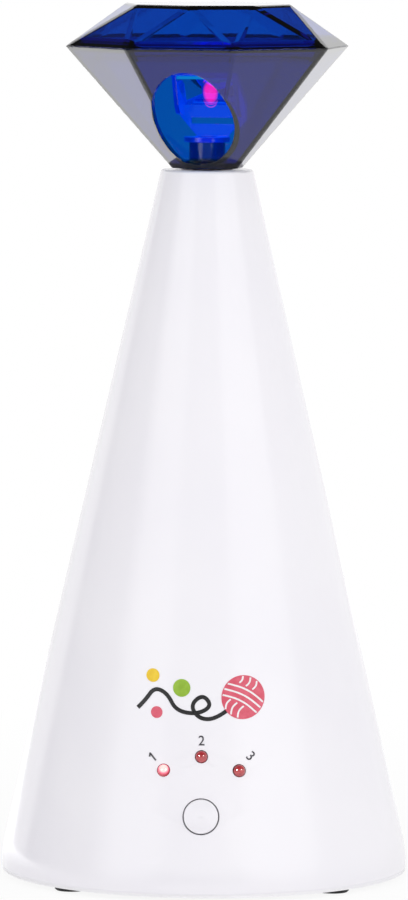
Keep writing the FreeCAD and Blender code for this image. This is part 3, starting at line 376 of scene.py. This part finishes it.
lamp_unlit = red_epoxy("red_epoxy_unlit")[0]
lamp_lit, lit_tree, lit_shader = red_epoxy("red_epoxy_lit")
low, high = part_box("led_left")
chip = Vector(((low.x + high.x) / 2, low.y + CHIP_DEPTH_MM * MM, high.z - CHIP_DROP_MM * MM)) / MM
shine(lit_tree, lit_shader, glow_at(lit_tree, chip, (GLOW_REACH_MM,) * 3, GLOW_STOPS))
print("lit lamp at", [round(c, 1) for c in chip])

# %% [markdown]
# ## Rubber, metal and the plastics inside
# What is inside is only seen when the battery door is open or through the gem, but it gets the
# same care. Moulded pieces have a drifting tone, a patchy gloss and a fine grain. Turned and drawn
# metals have fine lines along their axis. The board's tracks are the edges of a Voronoi pattern in
# the Manhattan measure, because those edges keep to square directions as tracks do.

# %% Finishes of the small parts


def moulded(name, tones, gloss, ior=1.5, grain_mm=1.0, depth_mm=0.01):
    """An opaque moulded plastic or rubber, with the fine grain of its tool."""
    material, tree, shader = new_finish(name, IOR=ior)
    vary_tone(tree, shader, 6, *tones)
    vary_gloss(tree, shader, 3, *gloss)
    add_relief(tree, shader, grain_mm, depth_mm)
    return material


def turned_metal(name, tones, gloss):
    """A metal whose skin has the lines of turning or drawing."""
    material, tree, shader = new_finish(name, Metallic=1.0)
    vary_tone(tree, shader, 4, *tones)
    vary_gloss(tree, shader, 2, *gloss)
    brush(tree, shader, 0.15, 4.0, 0.004)
    return material


TRACK_PITCH_MM = 3.0
SLEEVE_BAND_MM = 14.0    # where the darker band of a cell's sleeve starts, behind the middle


def circuit_board():
    """Green solder resist over copper tracks, which show as lighter lines."""
    material, tree, shader = new_finish("solder_resist_green", IOR=1.5, Roughness=0.3)
    place = add_node(tree, "ShaderNodeTexCoord").outputs["Object"]
    tracks = add_node(tree, "ShaderNodeTexVoronoi", {"Vector": place}, Scale=1.0 / (TRACK_PITCH_MM * MM),
                      distance="MANHATTAN", feature="DISTANCE_TO_EDGE")
    tone = add_node(tree, "ShaderNodeValToRGB", {"Fac": tracks.outputs[0]})
    tone.color_ramp.interpolation = "CONSTANT"
    tone.color_ramp.elements[0].color = linear("#2c7a44")
    tone.color_ramp.elements[1].position = 0.12
    tone.color_ramp.elements[1].color = linear("#1b5a32")
    tree.links.new(tone.outputs[0], shader.inputs["Base Color"])
    add_relief(tree, shader, 0.8, 0.01)
    return material


def cell_jacket():
    """A printed shrink sleeve: plain grey, with a darker band that marks the end with the nub."""
    material, tree, shader = new_finish("cell_sleeve", Roughness=0.25, IOR=1.5)
    place = add_node(tree, "ShaderNodeTexCoord").outputs["Object"]
    split = add_node(tree, "ShaderNodeSeparateXYZ", {"Vector": place})
    band = add_node(tree, "ShaderNodeMath", {0: split.outputs["Y"]}, operation="GREATER_THAN")
    band.inputs[1].default_value = SLEEVE_BAND_MM * MM
    tone = add_node(tree, "ShaderNodeValToRGB", {"Fac": band.outputs[0]})
    tone.color_ramp.elements[0].color = linear("#a9aeb6")
    tone.color_ramp.elements[1].color = linear("#43474f")
    tree.links.new(tone.outputs[0], shader.inputs["Base Color"])
    add_relief(tree, shader, 2.0, 0.01)
    return material


print("small parts ready")

# %% [markdown]
# ## Every slot gets its finish
# Each solid names the slot that it takes its finish from, so one table dresses them all.

# %% The table of finishes
finishes = {
    # the outside
    "white_housing": glossy_white_abs(),
    "white_base": grained_white_abs(),
    "white_button": glossy_white_abs(),
    "gem_blue": crown_blue(),
    "bracket_blue": bracket_blue(),
    "mirror_glass": silvered_glass(),
    "led_red": lamp_unlit,
    "led_red_lit": lamp_lit,
    # a nearly matt black rubber, which looks dusty beside the gloss of the cone
    "foot_rubber": moulded("foot_rubber", ("#1d1d1f", "#29292b"), (0.7, 0.85), 1.52, 0.4, 0.02),
    # bright zinc plate on steel, a bluish silver with a soft sheen
    "zinc_screw": turned_metal("zinc_plated_screw", ("#b8bcc2", "#d2d4d6"), (0.22, 0.36)),
    # nickel plate on spring steel, a warm silver and glossier
    "nickel_contact": turned_metal("nickel_plated_contact", ("#c4c0b4", "#dad7cc"), (0.15, 0.3)),
    # ground steel, the brightest metal here
    "shaft_steel": turned_metal("ground_steel_shaft", ("#b4b6ba", "#cccdd0"), (0.12, 0.22)),
    # the deep-drawn can of the motor, zinc plated and a little dull
    "motor_can": turned_metal("zinc_plated_can", ("#a9adb3", "#c6c9cc"), (0.25, 0.4)),
    # pressed bronze powder filled with oil, brown and dull from its pores
    "bush_bronze": turned_metal("sintered_bronze_bush", ("#9a6a3a", "#b98a52"), (0.35, 0.5)),
    # turned brass, yellow and fairly bright
    "pinion_brass": turned_metal("brass_pinion", ("#b8923f", "#d4b35c"), (0.2, 0.3)),
    "laser_brass": turned_metal("brass_laser_barrel", ("#b08a3c", "#cfae5a"), (0.2, 0.3)),
    # natural nylon, cream and half matt
    "motor_cap": moulded("motor_cap_nylon", ("#e4e0d4", "#ece9df"), (0.4, 0.5)),
    # natural acetal, a waxy white
    "gear_acetal": moulded("gear_acetal", ("#efeee9", "#f6f5f1"), (0.3, 0.42), 1.48),
    "spindle_acetal": clear_hub(),
    # grey ABS as it comes from the tool
    "chassis_grey": moulded("chassis_grey_abs", ("#8d9095", "#989ba0"), (0.4, 0.5)),
    "switch_black": moulded("switch_black_nylon", ("#1b1b1d", "#252527"), (0.35, 0.5)),
    # filled epoxy, a matt black
    "chip_black": moulded("chip_black_epoxy", ("#202022", "#2a2a2c"), (0.5, 0.6)),
    "board_green": circuit_board(),
    "cell_jacket": cell_jacket(),
    "laser_lens": laser_lens_clear(),
}
print("finishes:", len(finishes))

# %% Dress the solids
slot_of = {part["node"]: part["material_slot"] for part in frame["record"]["subparts"]}
for name, node in frame["nodes"].items():
    node.data.materials.clear()
    node.data.materials.append(finishes[slot_of[name]])
# the gem's two shells share a slot, but the lower one is smokier and has a painted glow of the beam
frame["nodes"]["gem_pavilion"].data.materials[0] = pavilion_blue()
print("dressed:", len(slot_of), "solids")

# %% [markdown]
# ## Printing on the cone
# The print is pad printed: a soft pad carries the wet ink from an etched plate and rolls it onto
# the curved wall. In Blender a flat piece stands upright in front of the cone, is projected onto
# the wall, and then gets the thickness of the ink.

# %% Lay a flat piece on the cone
INK_MM = 0.04
INK_GAP_MM = 0.03    # keeps the ink clear of the wall's facets
IN_FRONT_MM = 60.0   # from the axis to where a flat piece stands before it is projected


def modify(piece, kind, **settings):
    """Adds a modifier and applies it."""
    bpy.context.view_layer.objects.active = piece
    modifier = piece.modifiers.new(kind.title(), kind)
    for name, value in settings.items():
        setattr(modifier, name, value)
    bpy.ops.object.modifier_apply(modifier=modifier.name)


def select_only(piece):
    """Selects one piece and makes it the active one."""
    bpy.ops.object.select_all(action="DESELECT")
    piece.select_set(True)
    bpy.context.view_layer.objects.active = piece


def stand_in_front(piece, x_mm, z_mm, turn_degrees=0.0):
    """Stands a flat piece upright in front of the cone and bakes its place into its mesh."""
    select_only(piece)
    bpy.ops.object.convert(target="MESH")
    piece.rotation_euler = (math.radians(90), -math.radians(turn_degrees), 0)
    piece.location = (x_mm * MM, -IN_FRONT_MM * MM, z_mm * MM)
    bpy.ops.object.transform_apply(location=True, rotation=True, scale=True)


def print_on_cone(piece, ink, layer=0):
    """Projects an upright flat piece onto the wall and gives it the thickness of the ink."""
    select_only(piece)
    modify(piece, "SHRINKWRAP", target=frame["nodes"]["cone_housing"], wrap_method="PROJECT",
           use_project_y=True, use_negative_direction=False, use_positive_direction=True,
           offset=(INK_GAP_MM + layer * INK_MM) * MM)
    modify(piece, "SOLIDIFY", thickness=INK_MM * MM, offset=1.0)
    piece.data.materials.clear()
    piece.data.materials.append(ink)
    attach(piece, "base")


print("ink", INK_MM, "mm thick")

# %% [markdown]
# ## Ink
# Pad ink is a thin lacquer, less glossy than the plastic under it. Its film is a little uneven, so
# the tone drifts and the edge of a figure catches a fine line of light.

# %% Inks


def pad_ink(name, first, second):
    """A lacquer film whose tone drifts between two near shades."""
    material, tree, shader = new_finish(name, IOR=1.5)
    vary_tone(tree, shader, 1.5, first, second)
    vary_gloss(tree, shader, 1.0, 0.28, 0.4)
    add_relief(tree, shader, 0.5, 0.004)
    return material


inks = {
    "grey": pad_ink("pad_ink_grey", "#46444a", "#55535a"),
    "black": pad_ink("pad_ink_black", "#161517", "#201f22"),
    "white": pad_ink("pad_ink_white", "#f4eef0", "#faf6f8"),
    "pink": pad_ink("pad_ink_pink", "#d84f66", "#e06076"),
    "lime": pad_ink("pad_ink_lime", "#8cb42a", "#9cc23c"),
    "yellow": pad_ink("pad_ink_yellow", "#ecc414", "#f4d030"),
}
print("inks:", sorted(inks))

# %% [markdown]
# ## A printed ball of yarn
# Above the lamps the cone carries a small coloured print. Here it is a ball of yarn with its
# thread trailing away and a few round beads. A flat disc makes the ball, and every thread is a
# path with a round profile, of which only the front half is kept, so that it is one thin sheet.

# %% Discs and threads


def printed_disc(name, ink, x_mm, z_mm, radius_mm, layer=0):
    """A disc of rings of faces, so that it can follow the curve of the wall."""
    bpy.ops.object.select_all(action="DESELECT")
    bpy.ops.mesh.primitive_circle_add(vertices=48, radius=radius_mm * MM, fill_type="NOTHING")
    disc = bpy.context.object
    disc.name = name
    bpy.ops.object.mode_set(mode="EDIT")
    bpy.ops.mesh.select_all(action="SELECT")
    rings = max(2, round(radius_mm))
    for ring in range(rings - 1):
        bpy.ops.mesh.extrude_edges_move()
        share = (rings - ring - 1) / (rings - ring)
        bpy.ops.transform.resize(value=(share, share, 1.0))
    bpy.ops.mesh.edge_face_add()
    bpy.ops.object.mode_set(mode="OBJECT")
    stand_in_front(disc, x_mm, z_mm)
    print_on_cone(disc, inks[ink], layer)


def printed_thread(name, ink, path_mm, width_mm, layer=0, place=(0, 0, 0), order=3):
    """A stroke along a path of points (x, z). The place is right, up and the turn in degrees."""
    bpy.ops.object.select_all(action="DESELECT")
    bpy.ops.curve.primitive_nurbs_path_add()
    thread = bpy.context.object
    thread.name = name
    spline = thread.data.splines[0]
    spline.points.add(len(path_mm) - len(spline.points))
    for point, (x_mm, z_mm) in zip(spline.points, path_mm):
        point.co = (x_mm * MM, z_mm * MM, 0, 1)
    spline.order_u = order
    spline.use_endpoint_u = True
    spline.resolution_u = 8
    thread.data.bevel_depth = width_mm / 2 * MM
    thread.data.bevel_resolution = 1
    stand_in_front(thread, *place)
    bpy.ops.object.mode_set(mode="EDIT")
    bpy.ops.mesh.select_all(action="DESELECT")
    bpy.ops.object.mode_set(mode="OBJECT")
    for face in thread.data.polygons:
        face.select = face.normal.y > 0.01
    bpy.ops.object.mode_set(mode="EDIT")
    bpy.ops.mesh.delete(type="FACE")
    bpy.ops.object.mode_set(mode="OBJECT")
    print_on_cone(thread, inks[ink], layer)


print("discs and threads ready")

# %% [markdown]
# ## Numbers
# Beside each lamp stands a number for its speed. The 2 and the 3 are text that is made a mesh. The
# font's 1 is a bare upright, so this one is drawn as a thread with a flag. Order 2 gives a thread
# sharp corners, and a path of this kind needs at least five points.

# %% Numbers 1, 2 and 3
NUMBER_HEIGHT_MM = 2.3
CAPITAL_SHARE = 0.7      # a figure's height over the font's size
SWELL_MM = 0.02          # ink spreads a little past the plate's edge
STROKE_MM = 0.40
FIGURE_ONE = [(-0.55, 0.5), (-0.2, 0.8), (0.1, 1.1), (0.1, 0.0), (0.1, -1.1)]
# each number's middle, right of the centre line and above the table, and its turn
NUMBER_PLACES = {"1": (-11.8, 34.3, 40), "2": (0.0, 38.3, 0), "3": (11.8, 34.6, -45)}

printed_thread("printed_number_1", "grey", FIGURE_ONE, STROKE_MM, place=NUMBER_PLACES["1"], order=2)
for figure in ("2", "3"):
    bpy.ops.object.select_all(action="DESELECT")
    bpy.ops.object.text_add()
    number = bpy.context.object
    number.name = "printed_number_" + figure
    number.data.body = figure
    number.data.align_x = "CENTER"
    number.data.align_y = "CENTER"
    number.data.size = NUMBER_HEIGHT_MM * MM / CAPITAL_SHARE
    number.data.offset = SWELL_MM * MM
    stand_in_front(number, *NUMBER_PLACES[figure])
    print_on_cone(number, inks["grey"])
print("numbers:", sorted(NUMBER_PLACES))

# %% [markdown]
# ## Winding the ball
# A ball of yarn shows as three bundles of strands: one right across it, one above that and one
# below it, square to the first. Each strand bows as it would over a round ball. The bundles are
# worked out in shares of the ball's radius, then turned, scaled and set in place.

# %% The strands of the ball
BALL = (9.9, 48.6)
BALL_RADIUS_MM = 5.2
WINDING_TURN = math.radians(-28)
RIM = 0.95                            # strands stop short of the ball's edge
ACROSS_LEVELS = (-0.34, -0.06, 0.22)
SQUARE_LEVELS = (-0.46, -0.12, 0.22)
ABOVE_FROM, BELOW_FROM = 0.50, -0.34  # where the short strands meet the bundle across
ACROSS_BOW, SQUARE_BOW = 0.64, 0.16
STEPS = (0, 0.25, 0.5, 0.75, 1)


def strand_across(level):
    """A strand from rim to rim, which bows upwards."""
    end = RIM * math.sqrt(1 - level ** 2)
    return [(end * (2 * step - 1), level + ACROSS_BOW * step * (1 - step)) for step in STEPS]


def strand_square(level, start, side):
    """A short strand from the bundle across to the rim, above it or below it."""
    run = side * RIM * math.sqrt(1 - level ** 2) - start
    return [(level + SQUARE_BOW * run * math.sin(math.pi * step), start + run * step) for step in STEPS]


def on_the_ball(right, up):
    """A point given in shares of the ball's radius, in millimetres on the cone."""
    cosine, sine = math.cos(WINDING_TURN), math.sin(WINDING_TURN)
    return (BALL[0] + BALL_RADIUS_MM * (right * cosine - up * sine),
            BALL[1] + BALL_RADIUS_MM * (right * sine + up * cosine))


strands = [strand_across(level) for level in ACROSS_LEVELS]
for level in SQUARE_LEVELS:
    strands += [strand_square(level, ABOVE_FROM, 1), strand_square(level, BELOW_FROM, -1)]
print("strands:", len(strands))

# %% The print
STRAND_MM = 0.42
TAIL_MM = 0.95
TAIL = [(5.9, 45.4), (3.2, 43.4), (-0.8, 43.6), (-2.8, 46.8), (0.2, 49.4), (2.5, 46.6), (-1.1, 44.6),
        (-6.3, 45.4), (-8.3, 49.4), (-11.5, 50.8), (-13.7, 47.6), (-15.5, 45.8)]
# each bead's middle and radius
BEADS = {"lime": (-4.9, 50.8, 2.1), "yellow": (-11.9, 53.6, 1.6), "pink": (-10.9, 44.9, 1.4)}

printed_disc("print_yarn_ball", "pink", *BALL, BALL_RADIUS_MM)
for index, strand in enumerate(strands):
    path = [on_the_ball(right, up) for right, up in strand]
    printed_thread("print_yarn_strand_%d" % index, "white", path, STRAND_MM, 1)
printed_thread("print_yarn_tail", "black", TAIL, TAIL_MM)
for ink, (x_mm, z_mm, radius_mm) in BEADS.items():
    printed_disc("print_bead_" + ink, ink, x_mm, z_mm, radius_mm)
print("beads:", len(BEADS))

# %% [markdown]
# ## The tent
# A white product is shown in a white tent, with soft light from everywhere. The tent does two jobs:
# it lights the toy, and it is what the glossy cone and the gem mirror. Rays that carry light meet
# an even white, a little dimmed. Mirror rays meet the tent as it is built: its left wall is grey,
# its roof is dark, which keeps the gem's upper faces a deep blue, and low in front it has a dark
# opening.
# What is seen directly or through the clear plastic is plain white. Light Path tells these apart.

# %% The tent that mirror rays meet
WALL_EDGE = (0.075, 0.10)    # where the left wall ends, as a share of the way from left to right
LEFT_WALL = "#787880"
ROOF_EDGE = (0.40, 0.50)     # heights are the sine of the angle above the horizon
ROOF_LIGHT = 0.04
BACK_EDGE = (-0.1, 0.3)      # front to back, -1 is straight in front
BACK_LIGHT = 1.1
FRONT_EDGE = (-0.9, -0.7)
OPENING_EDGE = (0.10, 0.18)
OPENING_LIGHT = 0.1

world = bpy.data.worlds.new("tent")
bpy.context.scene.world = world
world.use_nodes = True
tent = world.node_tree
tent.nodes.clear()
heading = add_node(tent, "ShaderNodeTexCoord").outputs["Generated"]
split = add_node(tent, "ShaderNodeSeparateXYZ", {"Vector": heading})
sideways = add_node(tent, "ShaderNodeMapRange", {"Value": split.outputs["X"]}, From_Min=-1.0, From_Max=1.0)
walls = add_node(tent, "ShaderNodeValToRGB", {"Fac": sideways.outputs[0]})
for element, position, tone in zip(walls.color_ramp.elements, WALL_EDGE, (LEFT_WALL, "#ffffff")):
    element.position = position
    element.color = linear(tone)
roof = add_node(tent, "ShaderNodeMapRange", {"Value": split.outputs["Z"]}, From_Min=ROOF_EDGE[0],
                From_Max=ROOF_EDGE[1], To_Min=1.0, To_Max=ROOF_LIGHT)
behind = add_node(tent, "ShaderNodeMapRange", {"Value": split.outputs["Y"]}, From_Min=BACK_EDGE[0],
                  From_Max=BACK_EDGE[1], To_Min=1.0, To_Max=BACK_LIGHT)
front = add_node(tent, "ShaderNodeMapRange", {"Value": split.outputs["Y"]}, From_Min=FRONT_EDGE[0],
                 From_Max=FRONT_EDGE[1], To_Min=1.0, To_Max=0.0)
low_down = add_node(tent, "ShaderNodeMapRange", {"Value": split.outputs["Z"]},
                    From_Min=OPENING_EDGE[0], From_Max=OPENING_EDGE[1], To_Min=1.0, To_Max=0.0)
opening = add_node(tent, "ShaderNodeMath", {0: front.outputs[0], 1: low_down.outputs[0]},
                   operation="MULTIPLY")
opening = add_node(tent, "ShaderNodeMapRange", {"Value": opening.outputs[0]}, To_Min=1.0,
                   To_Max=OPENING_LIGHT)
level = roof
for share in (behind, opening):
    level = add_node(tent, "ShaderNodeMath", {0: level.outputs[0], 1: share.outputs[0]},
                     operation="MULTIPLY")
mirrored = add_node(tent, "ShaderNodeBackground", {"Color": walls.outputs[0], "Strength": level.outputs[0]})
print("roof light", ROOF_LIGHT)

# %% The tent for every ray
TENT_LIGHT = 0.78

ambient = add_node(tent, "ShaderNodeBackground", Color=linear("#ffffff"), Strength=TENT_LIGHT)
backdrop = add_node(tent, "ShaderNodeBackground", Color=linear("#ffffff"), Strength=1.0)
path = add_node(tent, "ShaderNodeLightPath")
glossy = add_node(tent, "ShaderNodeMixShader", {0: path.outputs["Is Glossy Ray"], 1: ambient.outputs[0],
                                               2: mirrored.outputs[0]})
direct = add_node(tent, "ShaderNodeMath", {0: path.outputs["Is Camera Ray"],
                                          1: path.outputs["Is Transmission Ray"]}, operation="MAXIMUM")
blend = add_node(tent, "ShaderNodeMixShader", {0: direct.outputs[0], 1: glossy.outputs[0],
                                              2: backdrop.outputs[0]})
add_node(tent, "ShaderNodeOutputWorld", {"Surface": blend.outputs[0]})
print("tent light", TENT_LIGHT)

# %% [markdown]
# ## Soft boxes
# A tall soft box stands at each side. The glossy cone mirrors each one as a bright upright band,
# which is what tells the eye that it is round and polished. The right one is the stronger.

# %% Two tall soft boxes
AIM = Vector((0, 0, 0.1))
BOX_ELEVATION = 22
BOX_DISTANCE_M = 1.5
BOX_HEIGHT_M = 1.3
# each box's azimuth, width in metres and watts
BOXES = {"left_box": (-46, 1.1, 3.0), "right_box": (46, 1.3, 4.6)}


def soft_box(name, azimuth, elevation, distance, width, height, watts):
    """A flat lamp that faces the toy. Azimuth is from the front, positive to the right."""
    turn, rise = math.radians(azimuth), math.radians(elevation)
    away = Vector((math.sin(turn) * math.cos(rise), -math.cos(turn) * math.cos(rise), math.sin(rise)))
    bpy.ops.object.light_add(type="AREA", location=AIM + away * distance)
    lamp = bpy.context.object
    lamp.name = name
    lamp.data.shape = "RECTANGLE"
    lamp.data.size = width
    lamp.data.size_y = height
    lamp.data.energy = watts
    lamp.rotation_mode = "QUATERNION"
    lamp.rotation_quaternion = away.to_track_quat("Z", "Y")
    lamp.visible_camera = False
    return lamp


for name, (azimuth, width, watts) in BOXES.items():
    soft_box(name, azimuth, BOX_ELEVATION, BOX_DISTANCE_M, width, BOX_HEIGHT_M, watts)
print("soft boxes:", sorted(BOXES))

# %% [markdown]
# ## Sparkle
# Two small bright lamps put the dots of light on the diodes' domes. They would also draw narrow
# streaks on the cone, so light linking lets only the diodes receive them, and they are kept out of
# the diffuse light, because a dot should sparkle and not brighten the red around it.

# %% Two small lamps for the diodes
SPARKLE_AZIMUTH, SPARKLE_ELEVATION = 44, 24
SPARKLE_DISTANCE_M = 1.2
SPARKLE_WIDTH_M, SPARKLE_HEIGHT_M = 0.14, 0.30
SPARKLE_WATTS = 11.0

sparkle_takers = bpy.data.collections.new("sparkle_takers")
for name in ("led_left", "led_middle", "led_right"):
    sparkle_takers.objects.link(frame["nodes"][name])
for name, side in (("left_sparkle", -1), ("right_sparkle", 1)):
    lamp = soft_box(name, side * SPARKLE_AZIMUTH, SPARKLE_ELEVATION, SPARKLE_DISTANCE_M, SPARKLE_WIDTH_M,
                    SPARKLE_HEIGHT_M, SPARKLE_WATTS)
    lamp.light_linking.receiver_collection = sparkle_takers
    lamp.visible_diffuse = False

# %% [markdown]
# ## Floor
# The toy stands on a seamless sheet of matt white paper. Seen directly the paper is nearly as
# bright as the tent, so that it stays white, and close to the toy a tenth of it is plain lit paper,
# which holds the soft shadow. Behind the toy the paper has a bright patch at each side, as if a
# hidden lamp lit it there. Only mirror rays meet the patches, so they show in the gem's slanting
# faces and nowhere else.

# %% Paper sheet
FLOOR_SIZE_M = 8
FLOOR_BACK_M = 2.6     # the sheet reaches further behind the toy than in front

bpy.ops.object.select_all(action="DESELECT")
bpy.ops.mesh.primitive_plane_add(size=FLOOR_SIZE_M, location=(0, FLOOR_BACK_M, 0))
floor = bpy.context.object
floor.name = "paper_floor"
bpy.ops.object.transform_apply(location=True)
paper, paper_tree, paper_shader = new_finish("white_paper", Roughness=0.9)
vary_tone(paper_tree, paper_shader, 400, "#f6f6f7", "#fbfbfb")
paper_path = add_node(paper_tree, "ShaderNodeLightPath")
paper_place = add_node(paper_tree, "ShaderNodeTexCoord").outputs["Object"]
floor.data.materials.append(paper)
print("floor", round(floor.dimensions.x, 1), "m across")

# %% Bright patches behind the toy
PATCHES = (((-0.22, 0.26, 0), 1.5), ((0.15, 1.0, 0), 0.30))   # each one's place and brightness
PATCH_EDGE = (0.12, 0.34)                                     # metres from its middle

sweep = None
for place, brightness in PATCHES:
    patch = add_node(paper_tree, "ShaderNodeVectorMath", {0: paper_place}, operation="DISTANCE")
    patch.inputs[1].default_value = place
    patch = add_node(paper_tree, "ShaderNodeMapRange", {"Value": patch.outputs["Value"]},
                     From_Min=PATCH_EDGE[0], From_Max=PATCH_EDGE[1], To_Min=brightness, To_Max=0.0,
                     interpolation_type="SMOOTHSTEP")
    sweep = patch if sweep is None else add_node(paper_tree, "ShaderNodeMath",
                                                 {0: sweep.outputs[0], 1: patch.outputs[0]}, operation="ADD")
reflected = add_node(paper_tree, "ShaderNodeMath", {0: paper_path.outputs["Is Glossy Ray"],
                                                   1: paper_path.outputs["Is Transmission Ray"]},
                     operation="SUBTRACT", use_clamp=True)
sweep = add_node(paper_tree, "ShaderNodeMath", {0: sweep.outputs[0], 1: reflected.outputs[0]},
                 operation="MULTIPLY_ADD")
sweep.inputs[2].default_value = 1.0
glow = add_node(paper_tree, "ShaderNodeEmission", {"Strength": sweep.outputs[0]}, Color=linear("#ffffff"))
print("patches:", len(PATCHES))

# %% The paper that is seen
NEAR_M, FAR_M = 0.08, 0.30    # from the toy's axis
NEAR_SHARE = 0.90             # of the tent's white, close to the toy

direct = paper_path.outputs["Is Camera Ray"]
for kind in ("Is Glossy Ray", "Is Transmission Ray"):
    direct = add_node(paper_tree, "ShaderNodeMath", {0: direct, 1: paper_path.outputs[kind]},
                      operation="MAXIMUM").outputs[0]
away = add_node(paper_tree, "ShaderNodeVectorMath", {0: paper_place}, operation="LENGTH")
share = add_node(paper_tree, "ShaderNodeMapRange", {"Value": away.outputs["Value"]}, From_Min=NEAR_M,
                 From_Max=FAR_M, To_Min=NEAR_SHARE, To_Max=1.0)
share = add_node(paper_tree, "ShaderNodeMath", {0: direct, 1: share.outputs[0]}, operation="MULTIPLY")
mix = add_node(paper_tree, "ShaderNodeMixShader", {0: share.outputs[0], 1: paper_shader.outputs[0],
                                                  2: glow.outputs[0]})
out = [node for node in paper_tree.nodes if node.type == "OUTPUT_MATERIAL"][0]
paper_tree.links.new(mix.outputs[0], out.inputs["Surface"])
print("white share near the toy:", NEAR_SHARE)

# %% [markdown]
# ## Camera
# A long lens, a little above the toy and looking slightly down, so that the cone's sides hardly
# converge and the gem's table is only just hidden.

# %% Camera
CAMERA_DISTANCE = 1.6738      # from the axis, metres
CAMERA_HEIGHT = 0.2591
CAMERA_AZIMUTH = math.radians(1.0)
CAMERA_DIP = math.radians(5.264)
CAMERA_ROLL = math.radians(-0.25)
CAMERA_YAW = math.radians(0.039)   # away from the axis, to the left
LENS_MM = 272.85
SENSOR_MM = 36
FURTHEST_M = 20

bpy.ops.object.camera_add(
    location=(CAMERA_DISTANCE * math.sin(CAMERA_AZIMUTH), -CAMERA_DISTANCE * math.cos(CAMERA_AZIMUTH),
              CAMERA_HEIGHT),
    rotation=(math.pi / 2 - CAMERA_DIP, CAMERA_ROLL, CAMERA_AZIMUTH + CAMERA_YAW))
camera = bpy.context.object
camera.data.lens = LENS_MM
camera.data.sensor_width = SENSOR_MM
camera.data.clip_end = FURTHEST_M
bpy.context.scene.camera = camera
bpy.context.scene.view_settings.view_transform = "Standard"
print("camera at", [round(c, 3) for c in camera.location])
